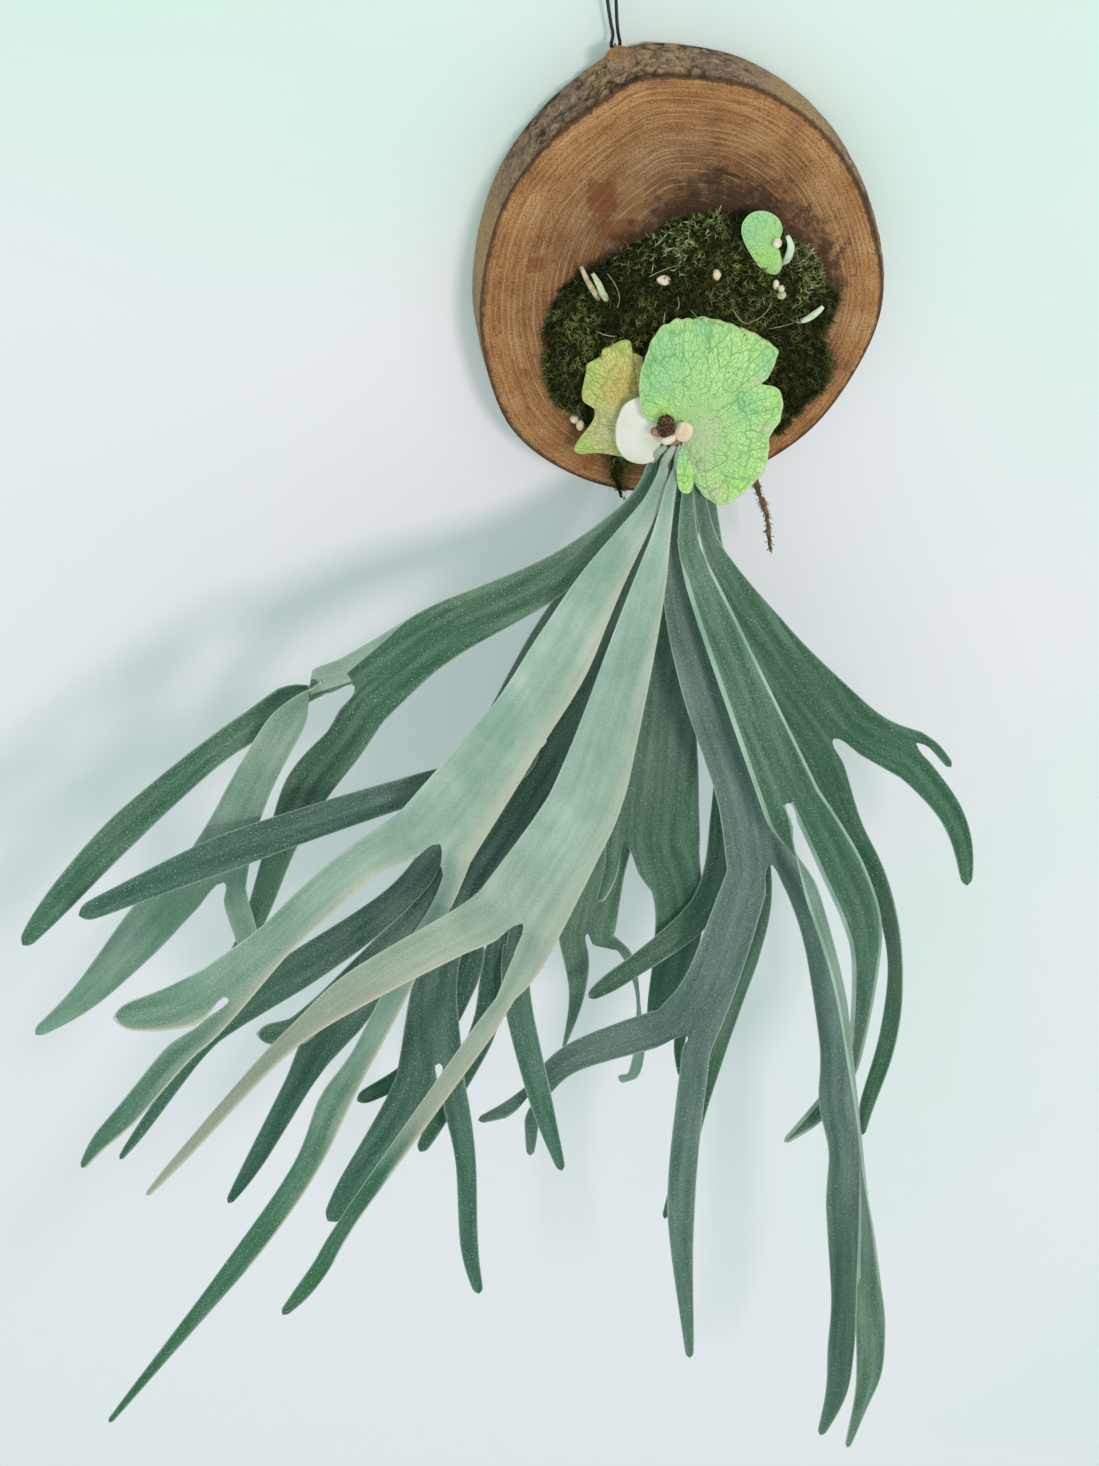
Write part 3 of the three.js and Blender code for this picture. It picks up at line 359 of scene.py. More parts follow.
FROND_FRONT_LEFT = blade([[-24, 94, STALK_TOP, 4], [-24, 94, -86, 5], [-32, 105, -102, 9],
  [-67, 138, -135, 25.5], [-94, 170, -163, 35.5], [-121, 196, -188, 35], [-173, 248, -223, 48]],
  blade([[-208, 270, -214, 21], [-237, 292, -222, 22], [-263, 312, -234, 19.5],
    [-293, 328, -252, 29.5]],
    blade([[-312, 338, -251, 25], [-329, 344, -250, 19.5], [-348, 350, -246, 13]]),
    blade([[-306, 330, -282, 12], [-317, 328, -291, 14.5], [-351, 320, -342, 13], [-368, 316, -364, 9.5],
      [-379, 312, -385, 4]])),
  blade([[-164, 252, -251, 14.5, 45], [-173, 254, -273, 15.5, 50], [-187, 256, -298, 17, 35],
    [-199, 258, -325, 14.5, 20], [-221, 262, -370, 13.5, 20], [-238, 264, -399, 19],
    [-254, 270, -437, 14.5], [-294, 280, -496, 14], [-387, 292, -620, 3.5]]))
FROND_FRONT_CENTRE = blade([[-17, 98, STALK_TOP, 4], [-17, 98, -86, 5], [-21, 102, -90, 5.5],
  [-29, 121, -113, 9.5], [-46, 155, -149, 23], [-81, 214, -220, 40], [-99, 236, -240, 42.5],
  [-129, 258, -276, 52]],
  blade([[-165, 276, -269, 24], [-195, 290, -274, 22], [-226, 300, -285, 20], [-248, 306, -299, 13, 20],
    [-271, 310, -319, 10.5, 30], [-322, 316, -378, 7, 30], [-345, 318, -405, 3]]),
  blade([[-123, 264, -302, 18], [-136, 268, -324, 13], [-147, 272, -340, 12, 15],
    [-233, 288, -469, 10, 25], [-250, 290, -502, 10.5], [-264, 292, -523, 10], [-276, 294, -537, 5]]))
FROND_LEFT_LOW = blade([[-21.5, 87, STALK_TOP, 4], [-21.5, 87, -86, 5], [-32, 101, -123, 10.5],
  [-63, 130, -175, 23], [-101, 162, -222, 34.5]],
  blade([[-126, 178, -230, 22], [-187, 211, -218, 16.5], [-287, 234, -233, 21], [-370, 243, -262, 10]]),
  blade([[-110, 172, -248, 23], [-130, 182, -277, 21], [-149, 190, -305, 13, 15], [-171, 200, -361, 25],
    [-177, 214, -418, 38.5]],
    blade([[-191, 220, -441, 26.5], [-230, 234, -500, 20], [-245, 238, -519, 9]]),
    blade([[-162, 214, -459, 16], [-158, 220, -495, 12.5], [-158, 230, -562, 11.5],
      [-153, 234, -599, 6.5]])))
FROND_UNDER_LEFT = blade([[-27.5, 76, STALK_TOP, 4], [-27.5, 76, -86, 5], [-28, 79, -110, 7],
  [-39, 83, -137, 11.5], [-68, 94, -165, 23], [-92, 111, -192, 27.5], [-141, 154, -261, 29.5],
  [-161, 168, -296, 27.5]],
  blade([[-188, 176, -318, 16.5], [-218, 184, -338, 20.5], [-253, 194, -355, 23], [-298, 204, -382, 15],
    [-315, 206, -401, 9.5], [-355, 210, -459, 7], [-368, 212, -477, 3.5]]),
  blade([[-168, 172, -314, 11, 20], [-183, 182, -337, 21], [-228, 204, -379, 32.5]],
    blade([[-255, 210, -388, 18], [-268, 214, -385, 13.5], [-279, 218, -381, 12]]),
    blade([[-243, 208, -402, 24.5], [-254, 212, -421, 16.5], [-288, 220, -483, 11],
      [-305, 224, -510, 4.5]])))
FROND_UNDER_CENTRE = blade([[-18, 75, STALK_TOP, 4], [-18, 75, -86, 5], [-19, 79, -117, 8],
  [-32, 94, -168, 17.5], [-60, 121, -226, 28.5], [-120, 164, -323, 39.5]],
  blade([[-138, 174, -353, 26.5]],
    blade([[-152, 182, -381, 15.5], [-182, 192, -437, 13.5], [-222, 198, -459, 8.5]]),
    blade([[-136, 178, -392, 16], [-143, 182, -428, 16], [-174, 198, -482, 11], [-185, 202, -502, 7]])),
  blade([[-121, 181, -363, 17.5], [-123, 198, -387, 17], [-112, 224, -446, 14.5],
    [-100, 233, -498, 5.5]]))
FROND_BROAD = blade([[-6, 72, STALK_TOP, 4], [-6, 72, -86, 5], [0, 65, -124, 6], [-11, 79, -179, 18],
  [-26, 114, -286, 50], [-31, 130, -328, 59]],
  blade([[-56, 134, -336, 8.5], [-58, 137, -348, 10, 20], [-65, 141, -363, 5, 30]]),
  blade([[-16, 136, -360, 31.5], [-15, 142, -392, 29.5], [-26, 152, -447, 19], [-30, 156, -472, 9]]))
FROND_THIN = blade([[-12.5, 69, STALK_TOP, 4], [-12.5, 69, -86, 5], [-7, 57, -144, 6],
  [-16, 66, -223, 16], [-36, 82, -316, 22.5], [-55, 96, -368, 26.5], [-69, 112, -413, 37]],
  blade([[-75, 118, -439, 14], [-77, 122, -463, 8], [-85, 126, -494, 2.5]]),
  blade([[-46, 118, -420, 11.5, 50], [-38, 126, -446, 10.5, 75], [-36, 132, -502, 9, 150],
    [-41, 132, -522, 8.5, 170], [-49, 128, -522, 6, 180]]))
FROND_UNDER_RIGHT = blade([[2, 72, STALK_TOP, 4], [2, 72, -86, 5], [11, 81, -159, 10],
  [22, 116, -266, 28], [21, 136, -326, 37]],
  blade([[6, 143, -356, 17.5], [-8, 149, -379, 18.5], [-45, 157, -404, 12.5], [-62, 160, -414, 12.5],
    [-74, 162, -422, 6]]),
  blade([[30, 152, -362, 22], [21, 161, -398, 23.5]],
    blade([[-9, 159, -444, 8], [-16, 161, -467, 7.5], [-14, 163, -493, 4]]),
    blade([[10, 168, -436, 21.5], [-7, 184, -500, 14], [-15, 190, -542, 11.5], [-27, 194, -588, 4]])))
FROND_RIGHT_LONG = blade([[-14, 81.5, STALK_TOP, 4], [-14, 81.5, -86, 5], [-15, 86, -110, 7],
  [-17, 107, -162, 16.5], [-3, 131, -214, 28.5], [18, 156, -272, 33.5], [29, 168, -323, 41.5]],
  blade([[15, 176, -345, 28], [-4, 190, -398, 32], [-20, 195, -427, 41.5]],
    blade([[-47, 198, -423, 22.5], [-93, 201, -437, 17.5], [-111, 201, -461, 14]],
      blade([[-133, 202, -475, 9], [-148, 202, -480, 4.5]]),
      blade([[-115, 202, -485, 9], [-115, 202, -499, 7.5], [-116, 202, -513, 5]])),
    blade([[-13, 199, -459, 17.5], [-21, 217, -558, 18], [-13, 227, -686, 5.5]])),
  blade([[53, 172, -339, 17], [67, 176, -383, 18], [81, 184, -463, 20.5], [83, 188, -502, 24.5],
    [90, 192, -542, 20.5], [91, 196, -585, 23.5], [96, 202, -673, 17], [96, 205, -719, 18.5],
    [95, 208, -759, 15], [86, 210, -798, 5.5]]))
FROND_RIGHT_CURLED = blade([[-8, 86.5, STALK_TOP, 4], [-8, 86.5, -86, 5], [-10, 93, -108, 7],
  [-11, 106, -129, 12.5], [-7, 120, -145, 17], [41, 184, -264, 35.5]],
  blade([[37, 194, -283, 17.5, 70], [51, 206, -312, 17, 125], [72, 222, -389, 17.5, 115],
    [92, 235, -528, 17, 90], [100, 241, -612, 16.5, 30], [103, 244, -651, 20], [105, 246, -695, 17.5],
    [101, 248, -723, 10], [94, 250, -764, 4]]),
  blade([[59, 185, -282, 22.5], [75, 184, -317, 26.5], [92, 178, -363, 24.5], [99, 170, -404, 17.5],
    [101, 159, -482, 10], [95, 158, -510, 13], [83, 160, -534, 13], [70, 164, -545, 10],
    [56, 168, -555, 3.5]]))
FROND_RIGHT_HIGH = blade([[-3.5, 81, STALK_TOP, 4], [-3.5, 81, -86, 5], [5, 88, -142, 9.5],
  [36, 112, -196, 31], [56, 126, -223, 39.5], [77, 140, -250, 52]],
  blade([[76, 148, -286, 21], [86, 154, -313, 17.5], [107, 161, -353, 15, 50], [119, 169, -410, 14, 60],
    [117, 174, -468, 12.5, 35], [105, 179, -521, 9.5], [104, 181, -541, 4]]),
  blade([[101, 148, -251, 26], [120, 154, -259, 30.5]],
    blade([[128, 158, -274, 18], [145, 162, -297, 15.5], [155, 165, -323, 12.5], [159, 168, -350, 7]]),
    blade([[132, 156, -250, 6.5], [143, 160, -265, 5]])))

print("the high left frond forks first into", len(FROND_LEFT_HIGH["lobes"]), "lobes")

# %% [markdown]
# The sweep walks along the chain and lays a curved section at every step. Where a blade forks,
# the points of its last section are shared out to the lobes, so the notch between two lobes is
# one shared point, and the lobes' inner margins are drawn back from it to round the notch.

# %% Sweeping a frond
FACING = np.array([-0.1, -0.8, 0.6]) / np.linalg.norm([-0.1, -0.8, 0.6])
LOBE_SHARES = (-1, -0.95, -0.78, -0.42, 0, 0.42, 0.78, 0.95, 1)
STEP = 5.0  # millimetres between sections
STALK_THICKNESS = 3.0
BLADE_THICKNESS = 1.1
MARGIN_THICKNESS = 0.7
THINNING = 0.1
CUP = 0.05
RIPPLE = 1.2
RIPPLE_LENGTH = 95.0
NOTCH_RADIUS = 6.0
TIP_STEPS = (0, 0.2, 0.4, 0.58, 0.74, 0.87, 0.96, 1)
PHASE_STEP = 0.55
EASING = 6


def unit(vector):
    """The same direction with a length of one."""
    return vector / (np.linalg.norm(vector) + 1e-12)


def shares_across(lobes):
    """Where the points of a section lie, from -1 at the left margin to 1 at the right."""
    if not lobes:
        return np.array(LOBE_SHARES, float)
    widths = [lobe["stations"][0][3] for lobe in lobes]
    shares, start = [-1.0], -1.0
    for lobe, width in zip(lobes, widths):
        span = 2 * width / sum(widths)
        shares += list(start + (shares_across(lobe["lobes"])[1:] + 1) / 2 * span)
        start += span
    return np.array(shares)


def section_points(row, shares, phase):
    """The middle of the blade's section, cupped and rippled along its margins."""
    fullness = min(1, max(0, (row["width"] - 10) / 25))
    turn = 2 * np.pi * row["along"] / RIPPLE_LENGTH + phase + np.where(shares > 0, 1.7, 0)
    lift = CUP * row["width"] * (shares**2 - 0.33) + RIPPLE * shares**2 * fullness * np.sin(turn)
    across = np.outer(row["width"] / 2 * shares, row["side"])
    return row["centre"] + across + np.outer(lift, row["face"])


def section_thickness(width, shares):
    """How thick the blade is across a section: a stout rib, and thin margins."""
    middle = max(BLADE_THICKNESS, STALK_THICKNESS - (width - 5) * THINNING)
    margin = max(MARGIN_THICKNESS, middle * 0.4)
    return margin + (middle - margin) * (1 - shares**2)


def section_frame(heading, twist):
    """The directions to the right margin and out of the upper face."""
    level = unit(np.cross(FACING, heading))
    angle = math.radians(twist)
    side = level * math.cos(angle) + np.cross(heading, level) * math.sin(angle)
    return side, np.cross(heading, side)


def chain(points, lead):
    """A function that gives the place and heading at a share of a span of a smooth chain."""
    before = lead if lead is not None else 2 * points[0] - points[1]
    rows = np.vstack([before, points, 2 * points[-1] - points[-2]])

    def at(span, t):
        """The place and the heading at that share of a span."""
        a, b, c, d = rows[span : span + 4]
        spot = 0.5 * (
            (2 * b) + (c - a) * t + (2 * a - 5 * b + 4 * c - d) * t**2 + (3 * b - a - 3 * c + d) * t**3
        )
        slope = 0.5 * ((c - a) + 2 * (2 * a - 5 * b + 4 * c - d) * t + 3 * (3 * b - a - 3 * c + d) * t**2)
        return spot, unit(slope)

    return at


def ease_lengthwise(points, strands, softness):
    """Draws each point towards its neighbours up and down the blade, to round off the forks."""
    softness = softness * (np.bincount(strands.ravel(), minlength=len(points)) > 1) / 2
    for _ in range(EASING):
        weight = 1 / (np.linalg.norm(points[strands[:, 0]] - points[strands[:, 1]], axis=1) + 0.05)
        total, middle = np.zeros(len(points)), np.zeros_like(points)
        for here, there in ((0, 1), (1, 0)):
            np.add.at(total, strands[:, here], weight)
            np.add.at(middle, strands[:, here], points[strands[:, there]] * weight[:, None])
        points = points + (middle / total[:, None] - points) * softness[:, None]
    return points


def sweep_frond(plan, phase):
    """Points in millimetres, faces, and notes on each point, of one closed frond."""
    points, faces, notes, strands, softness = [], [], [], [], []

    def add_section(row, middle, thickness, shares):
        """Lays the upper and under points of one section, and pairs them."""
        first = len(points)
        for under in (0, 1):
            offset = np.outer(thickness * (0.5 - under), row["face"])
            points.extend(middle + offset)
            for share, tone in zip(shares, row["tone"]):
                margin = (1 - abs(share)) * row["width"] / 2
                across = row["middle"] + share * row["width"] / 2
                notes.append((row["along"], tone, min(margin, row["to_tip"]), under, across))
            softness.extend(row["soft"])
        count = len(shares)
        return [(first + i, first + count + i) for i in range(count)]

    def join(a, b):
        """Faces between two sections: upper, under, left margin and right margin."""
        for upper, lower in zip(a, b):
            strands.extend(zip(upper, lower))
        for (a0, a1), (b0, b1) in zip(zip(a, a[1:]), zip(b, b[1:])):
            faces.append((a0[0], b0[0], b1[0], a1[0]))
            faces.append((a0[1], a1[1], b1[1], b0[1]))
        faces.append((a[0][0], a[0][1], b[0][1], b[0][0]))
        faces.append((a[-1][0], b[-1][0], b[-1][1], a[-1][1]))

    def cap(row, at_start):
        """Faces that close the first or the last section."""
        for left, right in zip(row, row[1:]):
            first, second = (left, right) if at_start else (right, left)
            faces.append((first[0], second[0], second[1], first[1]))

    def grow(plan, parent):
        """Sweeps one length of blade from its parent's last section, then its lobes."""
        shares = shares_across(plan["lobes"])
        stations = [list(s) + [0] * (5 - len(s)) for s in plan["stations"]]
        centres = [np.array(s[:3], float) * (1, -1, 1) for s in stations]
        widths, twists = [s[3] for s in stations], [s[4] for s in stations]
        lead = None
        if parent:
            centres.insert(0, parent["centre"])
            widths.insert(0, parent["width"])
            twists.insert(0, parent["twist"])
            reach = np.linalg.norm(centres[1] - centres[0])
            lead = parent["centre"] - parent["heading"] * reach
        at = chain(np.array(centres), lead)
        lengths = [np.linalg.norm(b - a) for a, b in zip(centres, centres[1:])]
        rows, along = [], parent["along"] if parent else 0.0
        previous = centres[0]

        def locate(span, t):
            """One section's place, width and twist, with the distance swept so far."""
            nonlocal along, previous
            centre, heading = at(span, t)
            along += np.linalg.norm(centre - previous)
            previous = centre
            width = widths[span] + (widths[span + 1] - widths[span]) * t
            twist = twists[span] + (twists[span + 1] - twists[span]) * t
            return {"span": span, "t": t, "centre": centre, "heading": heading, "along": along,
                    "width": width, "twist": twist, "to_tip": 99.0}

        for span, length in enumerate(lengths):
            count = max(2, round(length / STEP))
            steps = [(k + 1) / count for k in range(count)]
            if span == 0:
                steps = [0.0, *steps] if parent is None else [0.02, 0.06, *steps]
            rows += [locate(span, t) for t in sorted(steps)]
        if not plan["lobes"]:
            end, last = rows[-1]["along"], len(lengths) - 1
            radius = min(0.75 * widths[-1], 0.8 * lengths[-1])
            rows = [row for row in rows if row["along"] < end - radius - 0.35 * STEP]
            for step in TIP_STEPS:
                row = locate(last, max(1 - radius * (1 - step) / lengths[-1], 0.02))
                row["along"] = end - radius * (1 - step)
                row["width"] *= max(math.sqrt(1 - step * step), 0.1)
                rows.append(row)
            for row in rows:
                row["to_tip"] = max(0, end - row["along"])
        sections = [parent["section"]] if parent else []
        for row in rows:
            row["side"], row["face"] = section_frame(row["heading"], row["twist"])
            row["middle"] = parent["middle"] if parent else 0.0
            row["soft"] = np.ones(len(shares))
            forking = parent and row["span"] == 0
            own_tone = row["t"] if forking else 1
            row["tone"] = shares * own_tone + (parent["tone"] if parent else 0) * (1 - own_tone)
            if forking:
                ease = row["t"] ** 2 * (3 - 2 * row["t"])
                side = parent["side"] * (1 - ease) + row["side"] * ease
                row["side"] = unit(side - row["heading"] * np.dot(side, row["heading"]))
                row["face"] = np.cross(row["heading"], row["side"])
            middle = section_points(row, shares, phase)
            thickness = section_thickness(row["width"], shares)
            if forking:
                own = dict(parent, face=np.cross(parent["heading"], parent["side"]))
                middle = middle + (
                    parent["points"] - section_points(own, shares, phase)
                ) * (1 - row["t"]) ** 2
                thickness = parent["thickness"] * (1 - row["t"]) + thickness * row["t"]
                radius = min(NOTCH_RADIUS, 0.35 * lengths[0])
                turn = min(1, row["t"] * lengths[0] / (2.2 * radius))
                pull = radius * (math.sqrt(2 * turn - turn * turn) - turn)
                # the lobe's inner half is drawn back most at its margin
                for notched, edge in ((parent["left"], shares < 0), (parent["right"], shares > 0)):
                    if notched:
                        back = pull * np.abs(shares) ** 3 * edge * -np.sign(shares)
                        row["soft"] -= 0.9 * np.abs(shares) ** 3 * edge
                        middle = middle + np.outer(back, row["side"])
            sections.append(add_section(row, middle, thickness, shares))
            row["points"], row["thickness"] = middle, thickness
        for a, b in zip(sections, sections[1:]):
            join(a, b)
        if not parent:
            cap(sections[0], True)
        if not plan["lobes"]:
            cap(sections[-1], False)
        start, last = 0, rows[-1]
        for number, lobe in enumerate(plan["lobes"]):
            end = start + len(shares_across(lobe["lobes"]))
            own = last["points"][start:end]
            across = own[-1] - own[0]
            grow(lobe, {
                "centre": (own[0] + own[-1]) / 2, "side": unit(across), "width": np.linalg.norm(across),
                "heading": last["heading"], "twist": last["twist"], "along": last["along"],
                "points": own, "thickness": last["thickness"][start:end], "tone": last["tone"][start:end],
                "middle": last["middle"] + (shares[start] + shares[end - 1]) / 2 * last["width"] / 2,
                "section": sections[-1][start:end],
                "left": number > 0, "right": number + 1 < len(plan["lobes"]),
            })
            start = end - 1

    grow(plan, None)
    return ease_lengthwise(np.array(points), np.array(strands), np.array(softness)), faces, np.array(notes)


print("points across the high left frond:", len(shares_across(FROND_LEFT_HIGH["lobes"])))

# %% [markdown]
# Frond skin is a thick green cuticle under white star-shaped hairs. Young fronds are felted
# silver; on old ones the felt has worn off the middle and stays along the margins. So the
# colour is a deep leaf green, mixed with silver by a felt number that each point carries, and
# broken up by a fine noise, since the hairs stand in clumps of about a millimetre.

# %% Frond skin


def frond_skin(name, deep, light, felt_low, felt_high):
    """Leathery frond cuticle: waxy green under felt, so half matt, with a soft sheen."""
    material, add, at, surface = new_material(
        name, "spot felt margin tip warm dusk fold", Roughness=0.62, Specular_IOR_Level=0.35,
        Sheen_Weight=0.2, Sheen_Roughness=0.5
    )
    vein_place = add("UVMap", uv_map="UVMap")
    # long cloudy patches along the blade, 80 mm by 10 mm
    stretched = add("Mapping", {"Vector": vein_place, "Scale": (100, 12, 1)})
    streaks = add("TexNoise", {"Vector": stretched, "Scale": 1, "Detail": 2})
    patches = add("TexNoise", {"Vector": at.spot, "Scale": 24, "Detail": 3})
    hairs = add("TexNoise", {"Vector": at.spot, "Scale": 1100, "Detail": 3, "Roughness": 0.7})
    stars = add("TexVoronoi", {"Vector": at.spot, "Scale": 760})
    # thin parallel veins under the skin, 3 mm apart
    lined = add("Mapping", {"Vector": vein_place, "Scale": (330, 5, 1)})
    veins = add("TexNoise", {"Vector": lined, "Scale": 1, "Detail": 1})
    both = add("Mix", {0: 0.3, 2: streaks, 3: veins})
    green = add("ValToRGB", [both], stops=[(0.34, deep), (0.68, light)])
    silver = add("ValToRGB", [patches], stops=[(0.36, felt_low), (0.66, felt_high)])
    beige = add("Mix", {0: at.warm, 6: silver, 7: "#c4beac"}, data_type="RGBA")
    clumps = add("MapRange", [hairs, 0.36, 0.66, -0.13, 0.13])
    worn = add("MapRange", [streaks, 0.35, 0.65, -0.1, 0.1])
    rim = add("MapRange", [at.margin, 0.1, 1.1, 0.6, 0])
    # where a margin curls over, its felted back shows as a strip
    inside = add("Math", [at.fold, at.margin], operation="SUBTRACT")
    folded = add("MapRange", [inside, -0.3, 0.3, 0, 0.75])
    total = at.felt
    for part in (worn, rim, clumps, folded):
        total = add("Math", [total, part], operation="ADD")
    total = add("Clamp", [total])
    # Hairs are stars 0.3 mm wide, drawn as faint dots of 0.5 mm so that they show.
    dot = add("MapRange", [stars.outputs["Distance"], 0.1, 0.32, 0.35, 0])
    dots = add("Math", [dot, stars.outputs["Color"]], operation="MULTIPLY")
    colour = green
    for share, code in ((at.dusk, "#526a66"), (at.tip, "#28603f"), (total, beige), (dots, "#dfe9e2")):
        colour = add("Mix", {0: share, 6: colour, 7: code}, data_type="RGBA")
    relief = add("Math", [hairs, both], operation="ADD")
    surface(colour, relief, 0.3, 0.0005)
    return material


silver_skin = frond_skin("felted_frond_skin", "#3f6b54", "#5a856d", "#8fae9e", "#bbcfc3")
dark_skin = frond_skin("worn_frond_skin", "#20443a", "#386153", "#76998a", "#a3bab0")
green_skin = frond_skin("green_frond_skin", "#1f4a30", "#336844", "#7fa38e", "#adc4b5")
print("frond skins:", silver_skin.name, dark_skin.name, green_skin.name)

# %% The twelve fronds
FRONDS = [
    # node, plan, skin, felt at the stalk, on the blade and at the tips, beige on the blade, at the
    # tips and along the right margin, dusky purple, dark tips, and the left and right folds in mm
    ("frond_left_high", FROND_LEFT_HIGH, green_skin, (0.3, 0.05, 0.15), (0.2, 0, 0), 0.15, 0.3, (0, 0)),
    ("frond_front_left", FROND_FRONT_LEFT, silver_skin, (0.8, 0.8, 0.0), (0.05, 0.1, 0.8), 0, 0.9, (0, 1)),
    ("frond_front_centre", FROND_FRONT_CENTRE, silver_skin, (0.7, 0.8, 0.6), (0.05, 0.9, 0.5), 0, 0.8,
     (0, 1)),
    ("frond_left_low", FROND_LEFT_LOW, dark_skin, (0.4, 0.15, 0.1), (0.3, 0, 0), 0.1, 0.5, (0, 0)),
    ("frond_under_left", FROND_UNDER_LEFT, dark_skin, (0.4, 0.2, 0.1), (0.3, 0, 0), 0.2, 0.6, (0, 0)),
    ("frond_under_centre", FROND_UNDER_CENTRE, dark_skin, (0.4, 0.1, 0.1), (0.3, 0, 0), 0.1, 0.6, (0, 0)),
    ("frond_broad", FROND_BROAD, green_skin, (0.3, 0.25, 0.1), (0.1, 0, 0), 0.3, 0.5, (0, 0)),
    ("frond_thin", FROND_THIN, green_skin, (0.4, 0.3, 0.3), (0, 0, 0), 0.1, 0.2, (0, 0)),
    ("frond_under_right", FROND_UNDER_RIGHT, green_skin, (0.3, 0.15, 0.1), (0, 0, 0), 0.2, 0.3, (0, 0)),
    ("frond_right_long", FROND_RIGHT_LONG, dark_skin, (0.35, 0.2, 0.15), (0.1, 0.2, 0.1), 0.5, 0.5, (0, 0)),
    ("frond_right_curled", FROND_RIGHT_CURLED, green_skin, (0.3, 0.0, 0.2), (0, 0.2, 0), 0.2, 0.3,
     (2.8, 1.8)),
    ("frond_right_high", FROND_RIGHT_HIGH, green_skin, (0.3, 0.02, 0.05), (0, 0, 0), 0.1, 0.3, (0, 0)),
]
# the ends that hang lowest have lost their felt, below this height in millimetres
WORN_BELOW = {"frond_front_centre": -400, "frond_front_left": -480}
# the curled margin of the high left frond: millimetres along the blade and across it
CURL_START, CURL_GROWTH, CURL_END = 185, 75, 262
CURL_WIDTH, CURL_INSIDE = 13, 7
for number, (node, plan, skin, felt, beige, dusky, dark_tips, folds) in enumerate(FRONDS):
    points, faces, notes = sweep_frond(plan, number * PHASE_STEP)
    along, tone, margin, under, across = notes.T
    reach = along / along.max()
    felted = 1 - np.clip((WORN_BELOW.get(node, -900) - points[:, 2]) / 40, 0, 1)
    right = beige[2] * np.clip(tone, 0, 1) ** 2 * (0.4 + 0.6 * felted)
    fold = np.where(tone < 0, *folds) * (reach > 0.1) * (reach < 0.8)
    if node == "frond_left_high":
        # its left margin curls over more and more until the whole lobe has turned its back
        curled = (across < -CURL_INSIDE) & (along < CURL_END)
        fold = np.where(curled, CURL_WIDTH * np.clip((along - CURL_START) / CURL_GROWTH, 0, 1), 0.0)
    new_piece(
        node + "_blade", points * MM, faces, [skin],
        slot="silver_frond" if skin is silver_skin else "green_frond", replaces=[node],
        uv=np.stack([2 * across, along], 1) * MM,
        felt=np.interp(reach, [0.08, 0.35, 0.75], felt) * felted + 0.45 * under + 0.4 * right,
        margin=margin, warm=np.clip(np.interp(reach, [0.4, 0.8], beige[:2]) * felted + right, 0, 1),
        dusk=dusky * np.clip(1.4 - 2 * np.abs(reach - 0.6), 0, 1), fold=fold,
        tip=np.maximum(np.clip((reach - 0.52) / 0.35, 0, 1) * dark_tips, 0.8 * (1 - felted))
    )
    print(node, len(faces), "faces")
# %% [markdown]
# ## The slice of wood
#
# The board is a sawn slice of a small trunk with its bark on. Growth rings follow the bark's
# outline, so the sawn face is laid out as rings of points round the pith, and each point
# carries how far out it grew. A noise that is stretched along that number draws rings that
# wander and differ in width, as real ones do, which evenly spaced circles would not.

# %% Outline of the slice
SLAB_DEPTH = 40.0
PITH = np.array([4.0, 6.0])
SLAB_OUTLINE = [
    # x, z and the bark's thickness, clockwise from the top
    (-7, 124, 5), (32, 115, 2.6), (69, 88, 2.8), (94, 49, 4.2), (109, -3, 3), (104, -45, 1.2),
    (74, -96, 1.6), (28, -126, 1.2), (-23, -133, 1.2), (-68, -119, 1.2), (-105, -86, 1.4),
    (-122, -33, 0.9), (-121, 14, 0.7), (-108, 58, 0.8), (-82, 92, 3.2), (-53, 114, 5.2),
    (-34, 124, 5),
]
BARK_PROFILE = [(0, 40), (0.35, 39), (0.85, 35), (1.1, 21), (1, 4), (0.8, 0)]
outline = smooth_line(SLAB_OUTLINE, 26, closed=True)
ahead = np.roll(outline, -1, 0) - np.roll(outline, 1, 0)
outward = np.stack([-ahead[:, 1], ahead[:, 0]], 1)
outward /= np.linalg.norm(outward, axis=1)[:, None]
around = len(outline)
print("points round the slice:", around)

# %% The bark's relief
FACE_RINGS = 95


def rugged(x, z):
    """How rough the bark is: deeply cracked over the top left, nearly smooth elsewhere."""
    top = np.clip((z - 45) / 45, 0, 1)
    return 0.18 + 0.82 * top * np.clip((40 - x) / 35, 0, 1)


def bark_cracks(places, size, seed):
    """0 in the furrows between plates of bark and 1 on the plates."""
    cells = []
    for p in places:
        spot = Vector((p[0], p[1] * 1.6, p[2])) / (size * MM) + Vector((seed, 0, seed))
        near, second = noise.voronoi(spot)[0][:2]
        cells.append(second - near)
    return np.clip(np.array(cells) / 0.35, 0, 1)


def slab_row(inset, out, growth):
    """One ring of points: inset is a share of the bark's thickness beyond the wood."""
    if growth < 1:
        flat = PITH + (outline[:, :2] - PITH) * growth
    else:
        flat = outline[:, :2] + outward * (inset * outline[:, 2])[:, None]
    return place(np.insert(flat, 1, out, axis=1))


rows, notes = [], []


def add_row(row, growth, depth, crack):
    """Adds a ring of points, and what each of them carries."""
    rows.append(row)
    notes.append([np.full(around, value) for value in (growth, depth, crack)])


